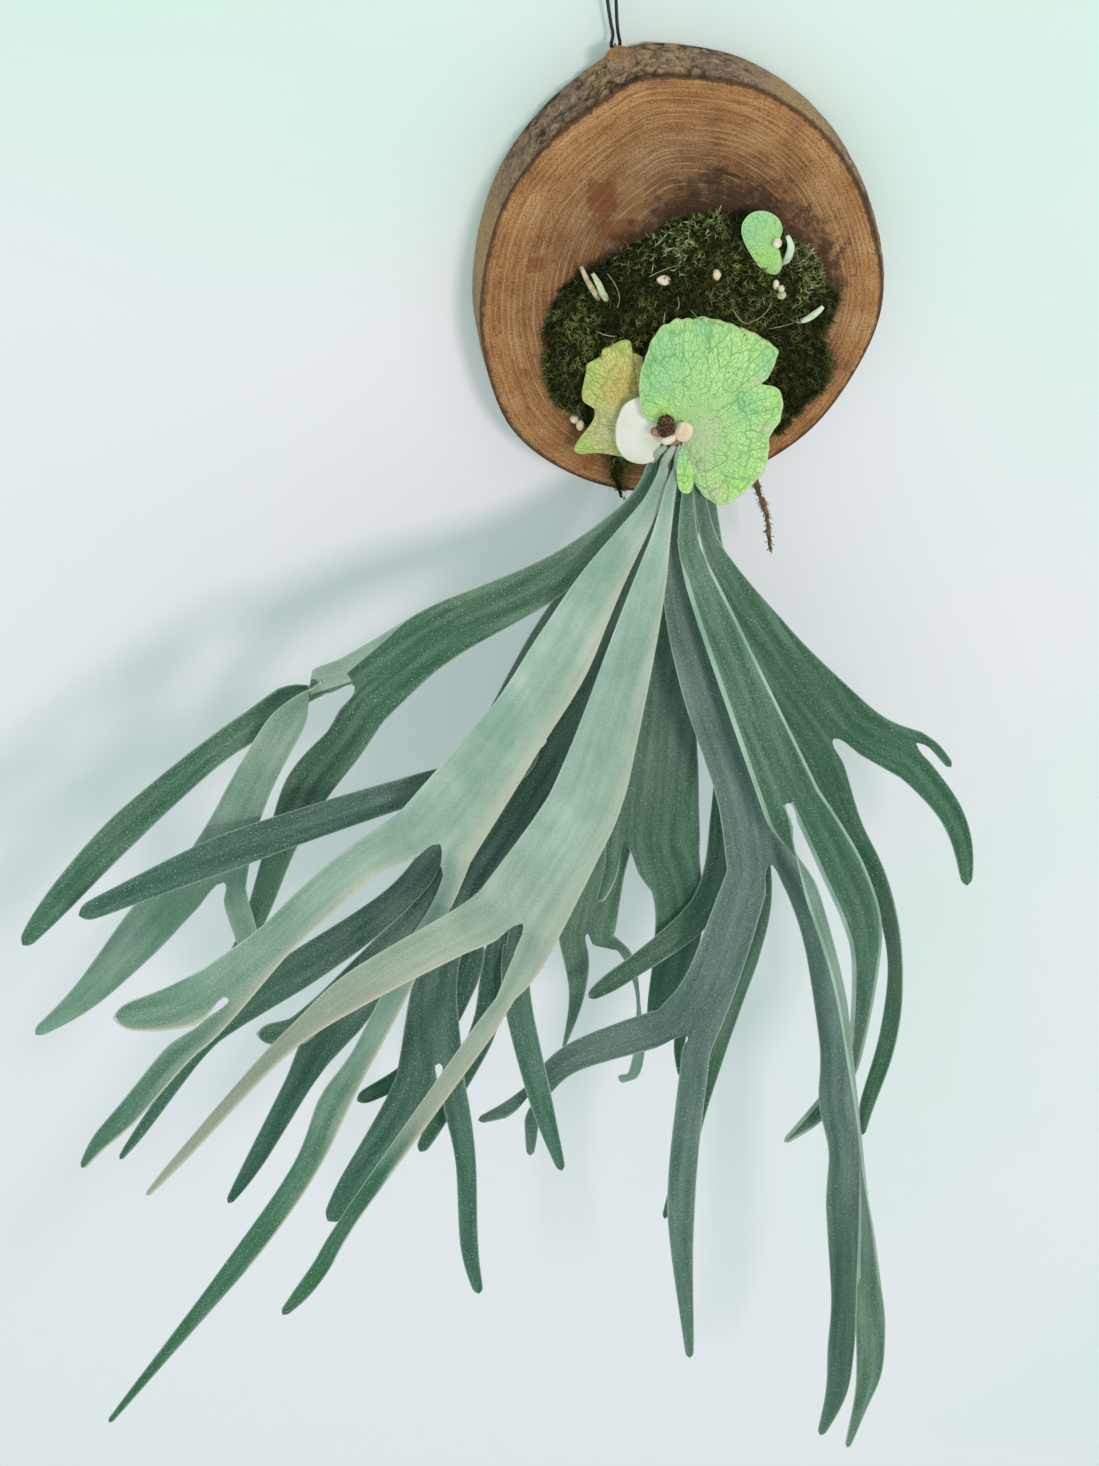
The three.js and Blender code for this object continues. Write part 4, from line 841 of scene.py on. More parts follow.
for share in np.linspace(0.01, 0.995, FACE_RINGS) ** 0.8:
    row = slab_row(0, SLAB_DEPTH, share)
    row[:, 1] -= 0.00025 * wander(row, 26, 3) * min(1, 3 * (1 - share))
    add_row(row, share, 0, 1)
face_rows = len(rows)
profile = smooth_line(BARK_PROFILE, 8)
for inset, out in profile:
    row = slab_row(inset, np.clip(out, 0, SLAB_DEPTH), 1)
    x, z = row[:, 0] / MM, row[:, 2] / MM
    plates = bark_cracks(row, 8, 5.0)
    swell = wander(row, 14, 1) + 0.5 * wander(row, 5, 2)
    edge = np.clip((SLAB_DEPTH - out) / 5, 0, 1) * np.clip(out / 3, 0, 1)
    lift = edge * rugged(x, z) * (2.3 * swell - 1.0 * (1 - plates) + 0.6 * wander(row, 3, 9))
    lift += edge * 0.3 * wander(row, 3, 7)
    row[:, 0] += outward[:, 0] * lift * MM
    row[:, 2] += outward[:, 1] * lift * MM
    cracked = rugged(x, z) * np.clip(0.75 * (1 - plates) - 0.5 * wander(row, 9, 4), 0, 1)
    add_row(row, 1, SLAB_DEPTH - out, 1 - cracked)
bark_rows = len(rows) - face_rows
for share in np.linspace(0.985, 0.02, 12):
    add_row(slab_row(0, 0, share), share, 0, 1)

print("rings of points on the slice:", len(rows))

# %% Stains and painted shade on the sawn face
slab_points = np.vstack(rows)
growth, depth, crack = np.concatenate(notes, axis=1)
on_face = slab_points[:, 1] < -SLAB_DEPTH / 2 * MM
RUST_MARKS = [
    # x, z, half width and half height of each rust stain, in millimetres
    (-54, 57, 8, 9), (-44, 37, 11, 6), (-36, 29, 9, 6), (-92, 18, 5, 5), (73, 17, 4, 1.5),
]
FRESH_MARKS = [(-40, 52, 9, 14), (-26, 40, 7, 9), (30, 84, 16, 5)]
MOSS_SHADE_REACH = 24.0  # how far the painted shade round the moss reaches into the wood above it
MOSS_OUTLINE = [
    # x and z where the moss meets the wood, clockwise from the top, in millimetres
    (2, 45), (39, 38), (63, 16), (81, -10), (76, -35), (81, -59), (65, -80), (51, -96), (27, -103),
    (-6, -105), (-41, -99), (-61, -83), (-82, -62), (-86, -32), (-77, 1), (-54, 18), (-30, 30),
]
moss_rim = smooth_line(MOSS_OUTLINE, 14, closed=True)


def soft_marks(x, z, marks, ragged):
    """How strongly each place is marked, from 0 to 1, with ragged borders."""
    total = np.zeros(len(x))
    for mark_x, mark_z, half_x, half_z in marks:
        reach = np.maximum(np.abs(x - mark_x) / half_x, np.abs(z - mark_z) / half_z)
        total = np.maximum(total, np.clip(2.4 - 2.0 * reach + ragged, 0, 1))
    return total


def soft_spots(x, z, spots):
    """From 0 to 1, how close each place lies to one of the spots (x, z, reach)."""
    total = np.zeros(len(x))
    for spot_x, spot_z, reach in spots:
        total = np.maximum(total, np.exp(-((x - spot_x) ** 2 + (z - spot_z) ** 2) / reach**2))
    return total


face_x, face_z = slab_points[:, 0] / MM, slab_points[:, 2] / MM
ragged = wander(slab_points, 7, 11) + 0.5 * wander(slab_points, 3, 14)
rust = soft_marks(face_x, face_z, RUST_MARKS, ragged * 0.4) * on_face
fresh = soft_marks(face_x, face_z, FRESH_MARKS, ragged * 0.6)
to_moss = np.hypot(face_x[:, None] - moss_rim[:, 0], face_z[:, None] - moss_rim[:, 1]).min(1)
above = np.clip((face_z + 20) / 40, 0.25, 1) * np.clip((face_x + 75) / 60, 0.2, 1)
# painted shade: the wood is darker near the moss, reaching furthest above it and to the right
damp = np.clip(1.1 - to_moss / (MOSS_SHADE_REACH * above) + 0.5 * ragged, 0, 1)
# a drip has left a blotch above the moss, with a thin tide mark round it
BLOTCH_X, BLOTCH_Z, BLOTCH_RADIUS = 16, 60, 11
from_blotch = np.hypot(face_x - BLOTCH_X, (face_z - BLOTCH_Z) * 1.3) + 4 * wander(slab_points, 9, 21)
tide_mark = np.exp(-((from_blotch - BLOTCH_RADIUS) ** 2)) * np.clip(wander(slab_points, 12, 5) + 0.8, 0, 1)
blotch = soft_spots(face_x, face_z, [(10, 64, 9), (0, 56, 8), (28, 54, 9)]) * (0.8 + 0.5 * ragged)
damp = np.maximum(np.maximum(damp, tide_mark), blotch)
damp = np.clip(damp, 0, 1) * on_face * (depth == 0)
# tan patches of bare bark along the top, and a wide spot at (-118, 20) that lightens the left side of the
# bark as painted light
BARE_BARK_AND_LIT_SIDE = [(-53, 119, 7), (-26, 126, 6), (-9, 125, 5), (52, 101, 14), (66, 92, 14), (-118, 20, 30)]
tan = soft_spots(face_x, face_z, BARE_BARK_AND_LIT_SIDE)
tan = np.clip(tan * 1.3 + 0.35 * ragged * (tan > 0.1), 0, 1)
angle = np.arctan2(slab_points[:, 2] / MM - PITH[1], slab_points[:, 0] / MM - PITH[0])

print("damp share of the points:", round(float(damp.mean()), 3))

# %% [markdown]
# The sawn face is old and dry: brown, with a thin pale line of summer wood in each ring, fine
# pores, and no gloss. Rings grow narrower towards the bark. Bark is corky and fully matt; its
# furrows are nearly black because no light reaches into them, and the cambium leaves a dark
# line between bark and wood.

# %% Wood material
RINGS = 27  # rings from the pith to the bark
sawn_wood, add, at, surface = new_material(
    "sawn_end_grain", "spot growth turn_x turn_z rust fresh damp", Roughness=0.8, Specular_IOR_Level=0.2
)


def ring_noise(turning, outwards, detail):
    """Noise that changes slowly round the slice and quickly from ring to ring."""
    spot = [
        add("Math", [number, pace], operation="MULTIPLY")
        for number, pace in ((at.growth, outwards), (at.turn_x, turning), (at.turn_z, turning))
    ]
    place_in_noise = add("CombineXYZ", spot)
    return add("TexNoise", {"Vector": place_in_noise, "Scale": 1, "Detail": detail, "Roughness": 0.6})


wobble, grain, strong = ring_noise(0.9, 4.0, 2.0), ring_noise(3.0, 70.0, 4.0), ring_noise(2.2, 26.0, 2.0)
crowded = add("Math", [at.growth, 1.45], operation="POWER")
phase = add("Math", [crowded, RINGS, 0], operation="MULTIPLY_ADD")
shift = add("Math", [wobble, 2.2, phase], operation="MULTIPLY_ADD")
turns = add("Math", [shift, math.tau], operation="MULTIPLY")
wave = add("Math", [turns], operation="SINE")
line = add("MapRange", [wave, 0.7, 1, 0, 1])
seen = add("MapRange", [strong, 0.42, 0.68, 0.04, 0.55])
pale_line = add("Math", [line, seen], operation="MULTIPLY")
heart = add("MapRange", [at.growth, 0.5, 0.93])
colour = add("Mix", {0: heart, 6: "#9a7a5e", 7: "#d0a477"}, data_type="RGBA")
streak = add("ValToRGB", [grain], stops=[(0.3, "#b39a86"), (0.5, "#e2d6c8"), (0.68, "#ffffff")])
broad = add("TexNoise", {"Vector": at.spot, "Scale": 24, "Detail": 4, "Roughness": 0.65})
mottle = add("ValToRGB", [broad], stops=[(0.34, "#b08f78"), (0.5, "#e8d8c4"), (0.64, "#ffffff")])
# Pores are under 0.3 mm on the real wood, and are drawn at about 1 mm so that they show.
pores = add("TexNoise", {"Vector": at.spot, "Scale": 900, "Detail": 2, "Roughness": 0.7})
pore_tone = add("ValToRGB", [pores], stops=[(0.36, "#86705c"), (0.54, "#ffffff")])
for layer, weight in ((streak, 0.8), (mottle, 0.75), (pore_tone, 0.65)):
    colour = add("Mix", {0: weight, 6: colour, 7: layer}, data_type="RGBA", blend_type="MULTIPLY")
colour = add("Mix", {0: pale_line, 6: colour, 7: "#d3af8a"}, data_type="RGBA")
rim = add("MapRange", [at.growth, 0.975, 0.998, 0, 0.9])
# stains and the painted shade round the moss end in ragged borders, so each one is cut by the same fine noise
ragged_noise = add("TexNoise", {"Vector": at.spot, "Scale": 260, "Detail": 5, "Roughness": 0.7})
cut = add("MapRange", [ragged_noise, 0.35, 0.65, -0.75, 0.25])
for share, strength, code in (
    (at.fresh, 0.2, "#c79b68"), (at.rust, 0.62, "#743f20"), (at.damp, 0.8, "#32261e"),
    (rim, 0.85, "#4a3020"),
):
    sharp = add("Math", [share, 1.75, cut], operation="MULTIPLY_ADD", use_clamp=True)
    weight = add("Math", [sharp, strength], operation="MULTIPLY")
    colour = add("Mix", {0: weight, 6: colour, 7: code}, data_type="RGBA")
relief = add("Math", [grain, pores], operation="ADD")
surface(colour, relief, 0.5, 0.0008)

print(sawn_wood.name, "is painted by", len(sawn_wood.node_tree.nodes), "nodes")

# %% Bark material
corky_bark, add, at, surface = new_material(
    "corky_bark", "spot depth crack tan", Roughness=0.95, Specular_IOR_Level=0.15
)
patches = add("TexNoise", {"Vector": at.spot, "Scale": 60, "Detail": 7, "Roughness": 0.7})
BARK_TONES = [
    (0.32, "#5c4a42"), (0.43, "#9f7f6a"), (0.5, "#ba957c"), (0.57, "#866e63"), (0.64, "#cba88e"),
    (0.75, "#978980"),
]
colour = add("ValToRGB", [patches], stops=BARK_TONES)
# tan where the bark is bare, and painted light on its left side
colour = add("Mix", {0: at.tan, 6: colour, 7: "#c09a74"}, data_type="RGBA")
flecks = add("TexNoise", {"Vector": at.spot, "Scale": 520, "Detail": 3, "Roughness": 0.7})
fleck_tone = add("ValToRGB", [flecks], stops=[(0.36, "#867a72"), (0.52, "#ffffff")])
colour = add("Mix", {0: 0.65, 6: colour, 7: fleck_tone}, data_type="RGBA", blend_type="MULTIPLY")
furrow = add("MapRange", [at.crack, 0.1, 0.75, 0.85, 0])
cambium = add("MapRange", [at.depth, 0.4, 2.4, 0.8, 0])
for share, code in ((furrow, "#1f1913"), (cambium, "#3f2c1f")):
    colour = add("Mix", {0: share, 6: colour, 7: code}, data_type="RGBA")
relief = add("Math", [patches, flecks], operation="ADD")
surface(colour, relief, 0.9, 0.002)

print(corky_bark.name, "is painted by", len(corky_bark.node_tree.nodes), "nodes")

# %% The wood piece
ring_count = len(rows)
centres = place([[PITH[0], SLAB_DEPTH, PITH[1]], [PITH[0], 0, PITH[1]]])
first, last_ring = ring_count * around, (ring_count - 1) * around
faces = grid_faces(ring_count, around, closed=True)
faces += fan_faces(first, 0, around) + fan_faces(first + 1, last_ring, around, turned=True)
marks = {
    "growth": growth, "depth": depth, "crack": crack, "rust": rust, "damp": damp, "fresh": fresh,
    "tan": tan, "turn_x": np.cos(angle), "turn_z": np.sin(angle),
}
# the middles of the face and of the back are two points more, unmarked and uncracked
marks = {label: np.append(values, [label == "crack"] * 2) for label, values in marks.items()}
slab = new_piece(
    "sawn_slice", np.vstack([slab_points, centres]), faces, [sawn_wood, corky_bark],
    slot="wood", replaces=["wood_slab"], **marks,
)
bark_from, bark_to = (face_rows - 1) * around, (face_rows + bark_rows - 1) * around
for number, face in enumerate(slab.data.polygons):
    face.material_index = int(bark_from <= number < bark_to)
print("slice:", len(slab.data.polygons), "faces")

# %% The cut branch
# A small branch was sawn off the trunk, and its stub stands out of the bark at the top left.
STUB_FOOT, STUB_AXIS, STUB_RADIUS = np.array([-43.0, 25, 129.5]), np.array([-0.25, 0.4, 0.88]), 6.8
axis = place(STUB_AXIS) / np.linalg.norm(place(STUB_AXIS))
side = np.cross(axis, [0, 1, 0])
side /= np.linalg.norm(side)
other = np.cross(axis, side)
STUB_PROFILE = [
    (-7.5, 1.4), (-3, 1.2), (1, 1.12), (4.4, 1.05), (5.4, 0.98), (5.6, 0.9), (5.0, 0.85), (4.9, 0.6),
    (5.0, 0.05)
]
BARKY_STEPS = 30  # the rest is the sawn end
stub_steps, stub_sides = smooth_line(STUB_PROFILE, 6), 60
turn = np.arange(stub_sides) * math.tau / stub_sides
stub_rows = []
for along, share in stub_steps:
    reach = STUB_RADIUS * share * (1 + 0.1 * np.sin(turn + 0.6)) * MM
    ring = np.cos(turn)[:, None] * side + np.sin(turn)[:, None] * other
    stub_rows.append(place(STUB_FOOT) + axis * along * MM + reach[:, None] * ring)
stub_points = np.vstack(stub_rows)
middle = place(STUB_FOOT) + axis * np.repeat(stub_steps[:, 0], stub_sides)[:, None] * MM
barky = np.repeat(np.arange(len(stub_steps)) < BARKY_STEPS, stub_sides)
stub_points += (stub_points - middle) * (0.12 * wander(stub_points, 4, 6) * barky)[:, None]
last = (len(stub_steps) - 1) * stub_sides
stub_faces = grid_faces(len(stub_steps), stub_sides, closed=True)
stub_faces += [tuple(range(stub_sides))[::-1], tuple(range(last, last + stub_sides))]
stub_growth = np.clip(np.linalg.norm(stub_points - middle, axis=1) / (STUB_RADIUS * MM), 0, 0.94)
stub = new_piece(
    "cut_branch", stub_points, stub_faces, [sawn_wood, corky_bark], slot="wood",
    growth=0.6 + 0.38 * stub_growth, crack=1, depth=20, tan=0.2, fresh=0.3, rust=0,
    turn_x=np.tile(np.cos(turn), len(stub_steps)), turn_z=np.tile(np.sin(turn), len(stub_steps)),
)
for face in stub.data.polygons:
    face.material_index = int(min(face.vertices) < (BARKY_STEPS + 1) * stub_sides)
print("cut branch:", len(stub.data.polygons), "faces")

# %% [markdown]
# ## Planting small shapes
#
# Moss, down and crown scales are all the same job: one small closed shape, repeated thousands
# of times over a surface, each copy turned and sized a little differently. Geometry Nodes do
# this well, so one tree is built here with named inputs and used for all of them. A number
# called `cover` on the surface says how thickly each place is planted. The copies are made
# real at the end, and the result is taken as a plain mesh.

# %% The planting tree


def planting_tree():
    """A Geometry Nodes tree that plants a shape over a surface, and its inputs' identifiers."""
    tree = bpy.data.node_groups.new("planting", "GeometryNodeTree")
    tree.is_modifier = True
    add = partial(add_node, tree)
    kinds = {
        "Surface": "Geometry", "Shape": "Object", "Per Square Metre": "Float", "Lean": "Float",
        "Droop": "Float", "Smallest": "Float", "Largest": "Float", "Seed": "Int", "Finish": "Material",
    }
    inputs = {}
    for label, kind in kinds.items():
        socket = tree.interface.new_socket(label, in_out="INPUT", socket_type="NodeSocket" + kind)
        inputs[label] = socket.identifier
    tree.interface.new_socket("Plants", in_out="OUTPUT", socket_type="NodeSocketGeometry")
    given = add("NodeGroupInput").outputs
    seed = given["Seed"]
    cover = add("GeometryNodeInputNamedAttribute", {"Name": "cover"}, data_type="FLOAT")
    density = add("Math", [cover, given["Per Square Metre"]], operation="MULTIPLY")
    scattering = {"Mesh": given["Surface"], "Density": density, "Seed": seed}
    points = add("GeometryNodeDistributePointsOnFaces", scattering)
    shape = add("GeometryNodeObjectInfo", {"Object": given["Shape"]})
    back_lean = add("Math", [given["Lean"], -1], operation="MULTIPLY")
    least = add("CombineXYZ", [back_lean, back_lean])
    most = add("CombineXYZ", [given["Lean"], given["Lean"], math.tau])
    turn = add("FunctionNodeRandomValue", {"Min": least, "Max": most, "Seed": seed}, data_type="FLOAT_VECTOR")
    turning = {"Rotation": points.outputs["Rotation"], "Rotate By": turn}
    upright = add("FunctionNodeRotateRotation", turning, rotation_space="LOCAL")
    falling = {"Rotation": upright, "Factor": given["Droop"], "Vector": (0, -0.5, -1)}
    hanging = add("FunctionNodeAlignRotationToVector", falling, axis="Z")
    sizes = {2: given["Smallest"], 3: given["Largest"], "Seed": seed}
    size = add("FunctionNodeRandomValue", sizes, data_type="FLOAT")
    copies = {"Points": points, "Instance": shape.outputs["Geometry"], "Rotation": hanging, "Scale": size}
    plants = add("GeometryNodeInstanceOnPoints", copies)
    shade = add("FunctionNodeRandomValue", {"Seed": seed}, data_type="FLOAT")
    shading = {"Geometry": plants, "Name": "shade", "Value": shade}
    shaded = add("GeometryNodeStoreNamedAttribute", shading, data_type="FLOAT", domain="INSTANCE")
    real = add("GeometryNodeRealizeInstances", [shaded])
    painted = add("GeometryNodeSetMaterial", {0: real, "Material": given["Finish"]})
    add("NodeGroupOutput", [painted])
    return tree, inputs


PLANTING, PLANTING_INPUTS = planting_tree()


def plant(name, surface, cover, shape, finish, slot, **settings):
    """A piece made of copies of a shape over a mesh. cover is one number a point of the mesh."""
    number_points(surface, "cover", cover)
    bed, pattern = put(name + "_bed", surface), put(name + "_pattern", shape)
    modifier = bed.modifiers.new("plant", "NODES")
    modifier.node_group = PLANTING
    for label, value in {"Shape": pattern, "Finish": finish, **settings}.items():
        modifier[PLANTING_INPUTS[label.replace("_", " ")]] = value
    evaluated = bed.evaluated_get(bpy.context.evaluated_depsgraph_get())
    mesh = bpy.data.meshes.new_from_object(evaluated)
    for thing in (bed, pattern):
        bpy.data.objects.remove(thing)
    print(name, len(mesh.polygons), "faces")
    return settle(put(name, mesh))


def spikes(name, shoots):
    """Closed three-sided spikes in one mesh, each (foot, tip, width) in millimetres. tip: 0 to 1."""
    points, faces, tips = [], [], []
    for foot, tip, width in shoots:
        foot, tip = np.array(foot, float), np.array(tip, float)
        along = (tip - foot) / np.linalg.norm(tip - foot)
        side = np.cross(along, [0.31, 0.95, 0.1])
        side /= np.linalg.norm(side)
        other = np.cross(along, side)
        start = len(points)
        for turn in (0, math.tau / 3, 2 * math.tau / 3):
            points.append(foot + width / 2 * (math.cos(turn) * side + math.sin(turn) * other))
        points.append(tip)
        tips += [foot[2], foot[2], foot[2], tip[2]]
        faces += [(start + a, start + b, start + 3) for a, b in ((0, 1), (1, 2), (2, 0))]
        faces.append((start + 2, start + 1, start))
    mesh = bpy.data.meshes.new(name)
    mesh.from_pydata((np.array(points) * MM).tolist(), [], faces)
    number_points(mesh, "tip", np.array(tips, np.float32) / max(tips))
    return mesh


# %% [markdown]
# ## Moss
#
# Sheet moss is wrapped round the roots. Its body is a mound with a lumpy surface, nearly black
# where light doesn't reach. What the eye sees is the thousands of shoots standing out of it:
# short leafy ones in green, and longer pale straws lying over them.

# %% The moss mound
MOSS_CENTRE = np.array([-2, -32])
MOSS_DEPTH, MOSS_RIM, MOUND_HEIGHT = 15, 1.8, 18
MOSS_HOLLOWS = 4.2  # millimetres between the moss's low and high places


def moss_out(flat, share):
    """Distance of the moss from the wall, from its [x, z] and how far out it lies from the middle."""
    x, z = flat[:, 0], flat[:, 1]
    mound = MOUND_HEIGHT * np.exp(-(((x - 3) / 30) ** 2) - ((z + 38) / 22) ** 2)
    return SLAB_DEPTH + MOSS_RIM + math.sqrt(max(0, 1 - share**4)) * (MOSS_DEPTH + mound)


rim = moss_rim
spokes = len(rim)
shares = [*np.linspace(0.02, 0.9, 40), 0.93, 0.96, 0.985, 1.0]
rows = []
for share in shares:
    flat = MOSS_CENTRE + (rim - MOSS_CENTRE) * share
    rows.append(place(np.insert(flat, 1, moss_out(flat, share), axis=1)))
rows.append(place(np.insert(rim, 1, SLAB_DEPTH, axis=1)))
mound = np.vstack(rows)
height = wander(mound, 9, 4) + 0.6 * wander(mound, 3.5, 5)
mound[:-spokes, 1] -= height[:-spokes] * MOSS_HOLLOWS * MM
edge = mound[-3 * spokes :]
ragged = 1 + 0.035 * wander(edge, 8, 9) + 0.02 * wander(edge, 3, 8)
centre = np.array([MOSS_CENTRE[0], 0, MOSS_CENTRE[1]]) * MM
edge[:, [0, 2]] = centre[[0, 2]] + (edge[:, [0, 2]] - centre[[0, 2]]) * ragged[:, None]
mound_faces = grid_faces(len(rows), spokes, closed=True) + fan_faces(len(mound), 0, spokes)
mound = np.vstack([mound, [[centre[0], -moss_out(MOSS_CENTRE[None], 0)[0] * MM, centre[2]]]])


def rod(route_mm, radii_mm, steps=6, sides=8, lumps=0.0, seed=0):
    """Points in metres and faces of a closed rod through [x, out, z] places, with its radii."""
    line = smooth_line([(*p, r) for p, r in zip(route_mm, radii_mm)], steps)
    centres = place(line[:, :3])
    ahead = np.gradient(centres, axis=0)
    ahead /= np.linalg.norm(ahead, axis=1)[:, None]
    side = np.cross(ahead, [0.2, 1, 0.1])
    side /= np.linalg.norm(side, axis=1)[:, None]
    other = np.cross(ahead, side)
    points = []
    for turn in np.arange(sides) * math.tau / sides:
        points.append(centres + (math.cos(turn) * side + math.sin(turn) * other) * line[:, 3:4] * MM)
    points = np.stack(points, 1).reshape(-1, 3)
    if lumps:
        axis = np.repeat(centres, sides, 0)
        points = axis + (points - axis) * (1 + lumps * wander(points, 4, seed))[:, None]
    faces = grid_faces(len(line), sides, closed=True) + fan_faces(len(points), 0, sides, turned=True)
    faces += fan_faces(len(points) + 1, (len(line) - 1) * sides, sides)
    return np.vstack([points, centres[0], centres[-1]]), faces


def merge(parts):
    """One list of points and one of faces from several."""
    points, faces = [], []
    for part_points, part_faces in parts:
        start = sum(len(p) for p in points)
        points.append(part_points)
        faces += [tuple(start + i for i in face) for face in part_faces]
    return np.vstack(points), faces


# Two tufts hang off the lower left edge of the moss.
TUFTS = [
    ([(-38, 46, -84), (-42, 50, -97), (-45, 51, -114), (-42, 50, -130)], [4, 3.4, 2, 0.6]),
    ([(-44, 46, -84), (-46, 49, -98), (-48, 50, -116)], [3, 2.2, 0.6]),
]
tufts = [rod(route, radii, lumps=0.35, seed=k) for k, (route, radii) in enumerate(TUFTS)]
moss_points, moss_faces = merge([(mound, mound_faces), *tufts])
print("moss mound:", len(moss_faces), "faces")

# %% [markdown]
# Moss has no gloss at all. Light passes a little through the shoots, which the pale tips
# stand for, and the shade under them is nearly black.

# %% Moss materials


def moss_material(name, stops, withered=0.65, shaded=0.3):
    """Shoots that are dark at the foot, with a colour by the shoot's own random shade."""
    material, add, at, surface = new_material(
        name, "spot shade tip", Roughness=0.9, Specular_IOR_Level=0.15
    )
    leaf = add("ValToRGB", [at.shade], stops=stops)
    # the moss dies back to brown in places
    dead = add("TexNoise", {"Vector": at.spot, "Scale": 55, "Detail": 2})
    brown = add("MapRange", [dead, 0.5, 0.68, 0, withered])
    mixed = add("Mix", {0: brown, 6: leaf, 7: "#6a4f2a"}, data_type="RGBA")
    # only the ends of the shoots catch the light, and fewer of them in its hollows
    lit = add("MapRange", [at.tip, 0.1, 0.95, 0.1, 1])
    open_to_light = add("TexNoise", {"Vector": at.spot, "Scale": 38, "Detail": 1})
    share = add("MapRange", [open_to_light, 0.4, 0.64, shaded, 1])
    lit = add("Math", [lit, share], operation="MULTIPLY")
    surface(add("Mix", {0: lit, 6: "#0d1007", 7: mixed}, data_type="RGBA"))
    return material


moss_shade, add, at, surface = new_material("moss_in_shade", "spot", Roughness=1.0, Specular_IOR_Level=0.05)
deep = add("TexNoise", {"Vector": at.spot, "Scale": 260, "Detail": 5})
tone = add("ValToRGB", [deep], stops=[(0.3, "#0f1109"), (0.55, "#262d14"), (0.75, "#4a4220")])
surface(tone, deep, 1.0, 0.002)
leafy_moss = moss_material(
    "leafy_moss",
    [(0.05, "#3a2c1a"), (0.25, "#2b3a17"), (0.5, "#4e6325"), (0.78, "#849544"), (0.96, "#bfc583")]
)
straw_moss = moss_material(
    "dried_moss_straws", [(0.2, "#5a6230"), (0.5, "#868c50"), (0.8, "#b0ae7c"), (1.0, "#86633a")]
)
tuft_moss = moss_material(
    "fresh_moss_tips", [(0.2, "#8f9f58"), (0.6, "#bcc684"), (1.0, "#dfe4b4")], 0.0, 1.0
)
print("mosses:", leafy_moss.name, straw_moss.name, tuft_moss.name)

moss = new_piece("moss_mound", moss_points, moss_faces, [moss_shade], slot="moss", replaces=["moss_pad"])

# %% Shoots over the moss
LEAFY_SHOOT = [
    ((0, 0, 0), (0.5, 0.2, 3.6), 0.6), ((0.1, 0, 0.8), (1.6, 0.3, 2.4), 0.45),
    ((0.2, 0, 1.4), (-1.0, 0.9, 2.9), 0.42), ((0.2, 0.1, 1.9), (0.6, -1.3, 3.4), 0.4),
]
STRAW = [
    ((0, 0, 0), (0.6, 0.3, 3.2), 0.5), ((0.55, 0.3, 2.9), (2.2, 0.8, 6.2), 0.42),
    ((2.1, 0.8, 6.0), (4.9, 1.0, 8.6), 0.34),
]
TUFT_SHOOT = [((0, 0, 0), (0.3, 0.2, 4.2), 0.55)] + [
    ((0.05 * k, 0.03 * k, 0.7 * k), (math.cos(2.2 * k) * 1.1, math.sin(2.2 * k) * 1.1, 0.7 * k + 1.2), 0.4)
    for k in range(1, 5)
]
TUFT_PLACES = [(8, 42, 4), (-9, 31, 6), (60, 16, 6), (-22, 27, 4), (62, 2, 4)]
moss_x, moss_z = moss_points[:, 0] / MM, moss_points[:, 2] / MM
exposed = (moss_points[:, 1] < -(SLAB_DEPTH + 0.5) * MM).astype(float)
patchy = np.clip(0.7 + 0.8 * wander(moss_points, 16, 12), 0.2, 1)
for x, z, half_width, half_height in ((4, -58, 36, 47), (-53, -58, 13, 30)):
    # no shoots under the shields, where they would poke through
    exposed *= ((moss_x - x) / half_width) ** 2 + ((moss_z - z) / half_height) ** 2 > 1
pale = np.zeros(len(moss_points))
for tuft_x, tuft_z, spread in TUFT_PLACES:
    pale += np.exp(-(((moss_x - tuft_x) ** 2 + (moss_z - tuft_z) ** 2) / spread**2))
plant(
    "moss_shoots", moss.data.copy(), exposed * patchy, spikes("leafy_shoot", LEAFY_SHOOT), leafy_moss,
    "moss", Per_Square_Metre=4.2e5, Lean=1.2, Droop=0.1, Smallest=0.5, Largest=1.75, Seed=3
)
plant(
    "moss_straws", moss.data.copy(), exposed * (1.2 - patchy), spikes("straw", STRAW), straw_moss, "moss",
    Per_Square_Metre=0.7e5, Lean=1.45, Droop=0.05, Smallest=0.6, Largest=1.3, Seed=8,
)
plant(
    "moss_pale_tufts", moss.data.copy(), exposed * np.clip(pale, 0, 1), spikes("tuft_shoot", TUFT_SHOOT),
    tuft_moss, "moss", Per_Square_Metre=3.5e5, Lean=0.7, Droop=0.0, Smallest=1.2, Largest=2.0, Seed=5
)

# %% [markdown]
# ## Shield fronds
#
# A staghorn also grows flat, rounded fronds that clasp the moss. Each one spreads from the
# crown to a scalloped rim, so it is laid out as rows of points from a corner to the rim, with
# a soft dome, waves that grow towards the margin, and swells where it rides over something.
# Its veins fan out and net together, and the meshes get larger as the blade widens. Cells laid
# out by angle and by the logarithm of the distance do just that, so the UV map holds those two.

# %% Shield sheets
VEIN_SPREAD = 25.0  # cells in one radian of the fan, which makes them 2 to 3 mm wide at the rim
VEIN_LENGTH = 2.0  # how much longer than wide a cell is
SHIELD_THICKNESS = 1.1


